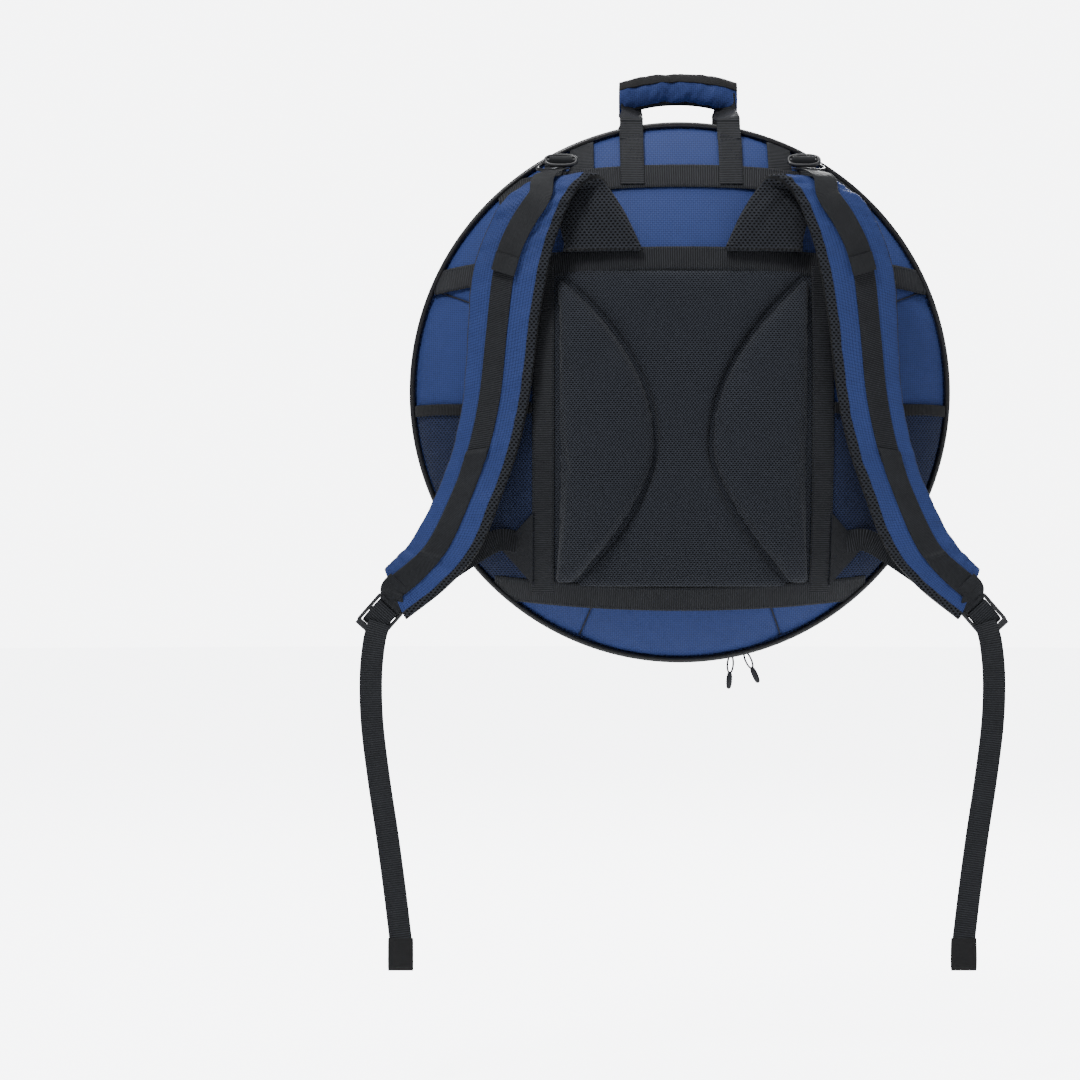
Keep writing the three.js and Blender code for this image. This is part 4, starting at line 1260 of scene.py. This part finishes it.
def plateWithSlots(name, outline, slots, thick, material, turn, bevel=0.0009):
    # A moulded plate: an outline and its slots filled, given a wall, then softened.
    bm = bmesh.new()
    edges = []
    for points in [outline, *slots]:
        verts = [bm.verts.new((x, 0, z)) for x, z in points]
        edges += [bm.edges.new((a, b)) for a, b in zip(verts, verts[1:] + verts[:1])]
    bmesh.ops.triangle_fill(bm, use_beauty=True, edges=edges)
    made = bmesh.ops.extrude_face_region(bm, geom=list(bm.faces))
    moved = [v for v in made["geom"] if isinstance(v, bmesh.types.BMVert)]
    bmesh.ops.translate(bm, verts=moved, vec=(0, thick, 0))
    bmesh.ops.translate(bm, verts=bm.verts, vec=(0, -thick / 2, 0))
    bmesh.ops.dissolve_limit(bm, angle_limit=0.02, verts=bm.verts, edges=bm.edges)
    bmesh.ops.recalc_face_normals(bm, faces=bm.faces)
    sharp = [e for e in bm.edges if e.is_manifold and e.calc_face_angle(0) > 0.9]
    bmesh.ops.bevel(bm, geom=sharp, offset=bevel, segments=3, profile=0.5, affect="EDGES", material=-1)
    bmesh.ops.triangulate(bm, faces=[f for f in bm.faces if len(f.verts) > 4])
    bmesh.ops.transform(bm, matrix=turn, verts=bm.verts)
    return finishPiece(name, bm, material)


def roundedBox(left, right, foot, top, corner, steps=4):
    points = []
    for cx, cz, start in ((right - corner, top - corner, 0), (left + corner, top - corner, 90),
                          (left + corner, foot + corner, 180), (right - corner, foot + corner, 270)):
        for k in range(steps + 1):
            a = math.radians(start + 90 * k / steps)
            points.append((cx + corner * math.cos(a), cz + corner * math.sin(a)))
    return points


def lockTurn(sign):
    along = Vector((sign * 0.66, -0.08, -0.747)).normalized()
    out = along.cross(Vector((sign * 0.75, -0.1, 0.66))).normalized()
    if out.y < 0:
        out.negate()
    wide = along.cross(out)
    turn = Matrix((wide, out, -along)).transposed().to_4x4()
    turn.translation = fromMiddle(sign * 319, 101, -239)
    return turn, along, out, wide


def makeLock(hand, sign, look):
    turn, along, out, wide = lockTurn(sign)
    if turn.to_3x3().determinant() < 0:
        turn = turn @ Matrix.Diagonal((-1, 1, 1, 1))
    half, long = hardware["lockWide"] / 2, hardware["lockLong"] / 2
    outline = roundedBox(-half, half, -long, long, 0.004)
    slots = [roundedBox(-half + 0.0035, half - 0.0035, low, high, 0.0012)
             for low, high in ((-long + 0.0045, -0.0022), (0.0022, long - 0.0050))]
    lock = plateWithSlots(f"{hand}LadderLock", outline, slots, 0.0050, look["acetal"], turn, 0.0011)
    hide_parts(f"{hand}_ladder_lock")
    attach(lock, f"{hand}_lock")
    lip = [turn @ Vector((x * half * 0.9, 0.0035, -long + 0.0015)) for x in (-1, 0, 1)]
    tongue = sweepPiece(f"{hand}LockLip", framesAlong(smoothRoute(lip, 12), tuple(along)),
                        flatSection(0.0065, 0.0026, soft=0.45), look["acetal"])
    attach(tongue, f"{hand}_lock")
    # The strap's end webbing runs behind the lock and round its top bar.
    tip = strapPoint(sign, 1.0, strap["web"], strap["thick"] / 2 + 0.003)[0]
    top = turn @ Vector((0, 0, long))
    face = out if (turn.to_3x3() @ Vector((0, 1, 0))).dot(out) > 0 else -out
    walk = smoothRoute([tip - along * 0.012, tip, top + face * 0.0042 - along * 0.001,
                        top + face * 0.0036 + along * 0.004,
                        top - face * 0.0038 + along * 0.0065, top - face * 0.0045 - along * 0.002], 40)
    hold = sweepPiece(f"{hand}LockLoop", framesAlong(walk, tuple(wide)), flatSection(0.0250, 0.0014),
                      look["fineWebbing"])
    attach(hold, f"{hand}_strap")
    # The long webbing comes up through the lower slot, over the middle bar and down again.
    over = [turn @ Vector((0, 0, z)) + face * y for y, z in (
            (-0.0055, -long + 0.010), (-0.0030, long - 0.010),
            (0.0008, long - 0.0068), (0.0042, long - 0.0085), (0.0046, 0.002),
            (0.0040, -0.008), (0.0012, -long + 0.0075),
            (-0.0040, -long + 0.0050))]
    ribs = sweepPiece(f"{hand}LockWrap", framesAlong(smoothRoute(over, 44), tuple(wide)),
                      flatSection(0.0245, 0.0015),
                      look["ribbedWebbing"])
    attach(ribs, f"{hand}_lock")


def makeAdjuster(hand, sign, look):
    turn = Matrix.Rotation(-0.9 - math.pi / 2, 4, "X")
    turn.translation = fromMiddle(sign * 128, 111.3, 241.5)
    oval = []
    for k in range(56):
        a = 2 * math.pi * k / 56
        wide, high = math.cos(a), math.sin(a)
        oval.append(Vector((0.0162 * math.copysign(abs(wide) ** 0.75, wide), 0,
                            0.0074 * math.copysign(abs(high) ** 0.75, high))))
    ring = sweepClosed(f"{hand}Adjuster", oval, 0.0019, look["acetal"], turn, sides=14)
    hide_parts(f"{hand}_lifter_adjuster")
    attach(ring, f"{hand}_adjuster")
    bar = [turn @ Vector((x, 0.0004, 0)) for x in (-0.0158, 0, 0.0158)]
    cross = sweepPiece(f"{hand}AdjusterBar", framesAlong(smoothRoute(bar, 10), (0, 0, 1)),
                       flatSection(0.0040, 0.0026),
                       look["acetal"])
    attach(cross, f"{hand}_adjuster")
    # The lifter comes up through the ring, over its bar and back down.
    over = [turn @ Vector((0, y, z)) for y, z in (
            (0.0045, -0.0075), (0.0012, -0.0045), (-0.0034, -0.0022), (-0.0040, 0.0012),
                                                 (-0.0012, 0.0040), (0.0035, 0.0062))]
    turnOver = sweepPiece(f"{hand}AdjusterWeb", framesAlong(smoothRoute(over, 24), (1, 0, 0)),
                          flatSection(0.0245, 0.0013),
                          look["plainWebbing"])
    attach(turnOver, f"{hand}_adjuster")


# --- side pockets, corner tabs and tethers
pocket = {"top": -0.014, "inner": 0.158, "foot": -0.206}


def makePocket(hand, sign, look):
    rings = []
    for i in range(49):
        z = pocket["foot"] + (pocket["top"] - pocket["foot"]) * i / 48
        outer = math.sqrt((bag["panelRadius"] - 0.002) ** 2 - z * z)
        upper, lower = [], []
        for j in range(31):
            x = pocket["inner"] + (outer - pocket["inner"]) * j / 30
            if outer < pocket["inner"]:
                x = outer
            slack = 0.0013 * (1 + noise.noise(Vector((x * 26 * sign, z * 26, 2.0))))
            slack *= min(1, (i / 6)) * math.sin(math.pi * min(1, max(0, j / 30))) ** 0.5
            upper.append(panelPoint(sign * x, z, 1, 0.0009 + slack)[0])
            lower.append(panelPoint(sign * x, z, 1, 0.0002 + slack)[0])
        rings.append(upper + lower[::-1])
    net = loftPiece(f"{hand}PocketNet", rings, look["net"], smooth=70)
    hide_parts(f"{hand}_side_pocket")
    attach(net, "tray")
    outer = math.sqrt((bag["panelRadius"] - 0.003) ** 2 - pocket["top"] ** 2)
    points = [(sign * (pocket["inner"] + (outer - pocket["inner"]) * k / 5),
               pocket["top"] - 0.006 - 0.0008 * (k % 2)) for k in range(6)]
    hem = panelStrip(f"{hand}PocketHem", points, 1, 0.0115, look["binding"], lift=0.0034, thick=0.0022)
    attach(hem, "tray")
    corner = [(pocket["inner"] - 0.002, -0.129), (0.190, -0.165), (pocket["inner"] - 0.002, -0.204)]
    rows = []
    for i in range(13):
        share = i / 12
        x = corner[0][0] + (corner[1][0] - corner[0][0]) * share
        high = corner[0][1] + (corner[1][1] - corner[0][1]) * share
        low = corner[2][1] + (corner[1][1] - corner[2][1]) * share - 0.0004
        spots = [(sign * x, low + (high - low) * j / 12) for j in range(13)]
        rows.append(doubledRow(spots, 1, 0.0046, 0.0028))
    tab = loftPiece(f"{hand}CornerTab", rows, look["tabCloth"], smooth=60)
    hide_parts(f"{hand}_corner_tab")
    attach(tab, "tray")
    start = panelPoint(sign * 0.172, -0.158, 1, 0.0058)[0]
    points = [start] + [fromMiddle(sign * x, y, z)
                        for x, y, z in ((198, 99, -160), (240, 95, -186), (280, 93.5, -214), (309, 96, -232))]
    walk = smoothRoute(points, 50)
    tether = sweepPiece(f"{hand}Tether", framesAlong(walk, (sign * 0.6, 0, 0.8)), flatSection(0.0235, 0.0014),
                        look["ribbedWebbing"])
    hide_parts(f"{hand}_tether")
    tuple(points[1])
    tuple(points[-1])
    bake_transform(tether)


# --- small things: label, zip sliders and pulls, stitching
def makeLabel(look):
    low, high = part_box("label_patch")
    half, tall = (high[0] - low[0]) / 2, 0.0120
    middle = webbing["frontBand"][0]
    for name, grow, lift, thick, key in (("labelPatch", 0.0, 0.0036, 0.0016, "labelFace"),
                                         ("labelField", -0.0026, 0.0046, 0.0006, "labelFace")):
        rows = []
        for i in range(9):
            z = middle - (tall + grow) + 2 * (tall + grow) * i / 8
            spots = [((half + grow) * (j / 6 - 1), z) for j in range(13)]
            rows.append(doubledRow(spots, -1, lift, lift - thick))
        piece = loftPiece(name, rows, look[key], smooth=50)
        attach(piece, "lid")
        if name == "labelPatch":
            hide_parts("label_patch")


def makeSliders(look):
    for place, angle, lean in (("far", 14.9, 24), ("near", 11.8, -4)):
        turnRound = math.radians(angle)
        outward = Vector((-math.sin(turnRound), 0, -math.cos(turnRound)))
        along = Vector((math.cos(turnRound), 0, -math.sin(turnRound)))
        spot = outward * (bag["wall"] + 0.0016) + Vector((0, -0.0322, bag["middle"]))
        turn = Matrix((along, outward, Vector((0, 1, 0)))).transposed().to_4x4()
        turn.translation = spot
        if turn.to_3x3().determinant() < 0:
            turn = turn @ Matrix.Diagonal((1, 1, -1, 1))
        outline = [(-0.0066, -0.0030), (-0.0040, -0.0046), (0.0030, -0.0050), (0.0066, -0.0042),
                   (0.0066, 0.0042), (0.0030, 0.0050), (-0.0040, 0.0046), (-0.0066, 0.0030)]
        body = plateWithSlots(f"{place}Slider", outline, [], 0.0024, look["blackMetal"], turn, 0.0006)
        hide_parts(f"zip_slider_{place}")
        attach(body, f"{place}_slider")
        bridge = [turn @ Vector((x, y, 0)) for x, y in ((-0.0045, 0.0012), (-0.0035, 0.0030), (0, 0.0036),
                                                       (0.0035, 0.0030), (0.0045, 0.0012))]
        arch = sweepPiece(f"{place}SliderBridge", framesAlong(smoothRoute(bridge, 16), (0, 1, 0)),
                          flatSection(0.0034, 0.0011, soft=0.45), look["blackMetal"])
        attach(arch, f"{place}_slider")
        tilt = math.radians(lean)
        down = Vector((-math.sin(tilt), 0, -math.cos(tilt)))
        wide = Vector((math.cos(tilt), 0, -math.sin(tilt)))
        root = spot + outward * 0.0030
        cord = []
        for k in range(25):
            turnAt = 2 * math.pi * k / 24
            cord.append(root + down * (0.0095 - 0.0095 * math.cos(turnAt))
                        + wide * (0.0032 * math.sin(turnAt)))
        string = sweepPiece(f"{place}PullCord", framesAlong(cord[:-1], (0, 1, 0)), roundSection(0.0010, 8),
                            look["binding"], closed=True)
        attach(string, f"{place}_pull")
        rings = []
        for k in range(21):
            share = k / 20
            swell = math.sin(math.pi * min(1, max(0.03, share))) ** 0.3
            rib = 1 + 0.07 * math.cos(2 * math.pi * share * 7) * (0.1 < share < 0.9)
            centre = root + down * (0.0175 + 0.0195 * share)
            rings.append([centre + wide * 0.0034 * swell * rib * math.cos(a)
                          + Vector((0, 1, 0)) * 0.0026 * swell * rib * math.sin(a)
                          for a in (2 * math.pi * q / 16 for q in range(16))])
        grip = loftPiece(f"{place}PullGrip", rings, look["rubber"])
        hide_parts(f"zip_pull_{place}")
        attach(grip, f"{place}_pull")


def stitchLine(name, points, body, material, length=0.0028, gapLength=0.0014, thick=0.00035):
    # A run of short thread stitches along points given as (place, out) pairs.
    bm = bmesh.new()
    spent, along = 0.0, []
    for (p, out), (q, _) in zip(points, points[1:]):
        span = (q - p).length
        while spent < span:
            along.append((p.lerp(q, spent / span), (q - p).normalized(), out))
            spent += length + gapLength
        spent -= span
    for place, direction, out in along:
        side = direction.cross(out).normalized()
        turn = Matrix((direction * length / 2, side * thick, out * thick)).transposed().to_4x4()
        turn.translation = place
        bmesh.ops.create_icosphere(bm, subdivisions=1, radius=1.0, matrix=turn)
    piece = finishPiece(name, bm, material)
    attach(piece, body)


def panelRun(points, side, lift, steps=60):
    flat = smoothRoute([(x, 0, z) for x, z in points], steps)
    return [panelPoint(p.x, p.z, side, lift) for p in flat]


def boxRun(x, foot, top, half, side, lift):
    corners = [(x - half, foot), (x + half, foot), (x + half, top), (x - half, top), (x - half, foot),
               (x + half, top), (x + half, foot), (x - half, top)]
    run = []
    for (ax, az), (bx, bz) in zip(corners, corners[1:]):
        run += [panelPoint(ax + (bx - ax) * k / 6, az + (bz - az) * k / 6, side, lift) for k in range(7)]
    return run


def makeStitching(look):
    thread = look["seamThread"]
    inset = webbing["width"] / 2 - 0.0022
    for key, side, body in (("topBand", 1, "tray"), ("middleBand", 1, "tray"), ("bottomBand", 1, "tray"),
                            ("frontBand", -1, "lid")):
        for k, shift in enumerate((-inset, inset)):
            points = [(x * 0.995, z + shift) for x, z in bandPoints(*webbing[key])]
            stitchLine(f"{key}Stitch{k}", panelRun(points, side, 0.0024, 120), body, thread)
    for hand, sign in (("left", -1), ("right", 1)):
        for panel, side, body in (("Back", 1, "tray"), ("Front", -1, "lid")):
            x = sign * webbing["leg"]
            stitchLine(f"{hand}{panel}LegBox", boxRun(x, 0.244, 0.266, 0.0098, side, 0.0040), body, thread)
            for k, z in enumerate((0.269, 0.2705, 0.272)):
                bar = [(x - 0.0105, z), (x, z), (x + 0.0105, z)]
                stitchLine(f"{hand}{panel}LegBar{k}", panelRun(bar, side, 0.0040, 10), body, thread,
                           0.0012, 0.0004)
        for k, shift in enumerate((-0.0095, 0.0095)):
            x = sign * webbing["padWeb"] + shift
            stitchLine(f"{hand}PadWebStitch{k}", panelRun([(x, -0.205), (x, -0.04), (x, 0.12)], 1, 0.0030),
                       "tray", thread)


def main():
    print("camera, stage and materials")
    makeCamera()
    look = makeMaterials()
    look["wallCloth"] = look["navyCloth"].copy()
    look["strapCloth"] = look["navyCloth"].copy()
    for key in ("wallCloth", "strapCloth"):
        look[key].name = key
        patternFromUv(look[key])
    look["zipCoil"] = webbingMaterial("zipCoil", (0.006, 0.006, 0.007), (0.05, 0.05, 0.055),
                                      ribs=640, ends=80,
                                      relief=0.0009, roughness=0.4)
    look["plainWebbing"] = webbingMaterial("plainWebbing", (0.011, 0.0115, 0.013), (0.028, 0.030, 0.034),
                                           ribs=900,
                                           ends=900, relief=0.0002)
    look["tabCloth"] = clothMaterial("tabCloth", (0.006, 0.0062, 0.007), (0.018, 0.019, 0.022), threads=760)
    look["labelFace"] = mouldedMaterial("labelFace", (0.009, 0.009, 0.010), 0.6, shine=0.12)
    makeStage()
    print("tails")
    for hand, sign in (("left", -1), ("right", 1)):
        makeTail(hand, sign, look)
    print("shell")
    makeShell(look)
    print("webbing and pads")
    makeWebbing(look)
    makePads(look)
    print("straps")
    for hand, sign in (("left", -1), ("right", 1)):
        makeStrap(hand, sign, look)
        makeStrapWebbing(hand, sign, look)
        makeLock(hand, sign, look)
        makeAdjuster(hand, sign, look)
        makePocket(hand, sign, look)
    print("handle and fittings")
    makeLoop("backLoop", "back_loop", "back_handle", 1, look)
    makeLoop("frontLoop", "front_loop", "front_handle", -1, look)
    makeWrap(look)
    makeRings(look)
    makeLabel(look)
    makeSliders(look)
    print("stitching")
    makeStitching(look)


def patternFromUv(material):
    # Reads the weave from the piece's own map instead of its place.
    tree = material.node_tree
    weave = next(n for n in tree.nodes if n.type == "GROUP")
    coords = next(n for n in tree.nodes if n.type == "TEX_COORD")
    split = tree.nodes.new("ShaderNodeSeparateXYZ")
    tree.links.new(coords.outputs["UV"], split.inputs[0])
    tree.links.new(split.outputs[0], weave.inputs["Along"])
    tree.links.new(split.outputs[1], weave.inputs["Across"])


main()
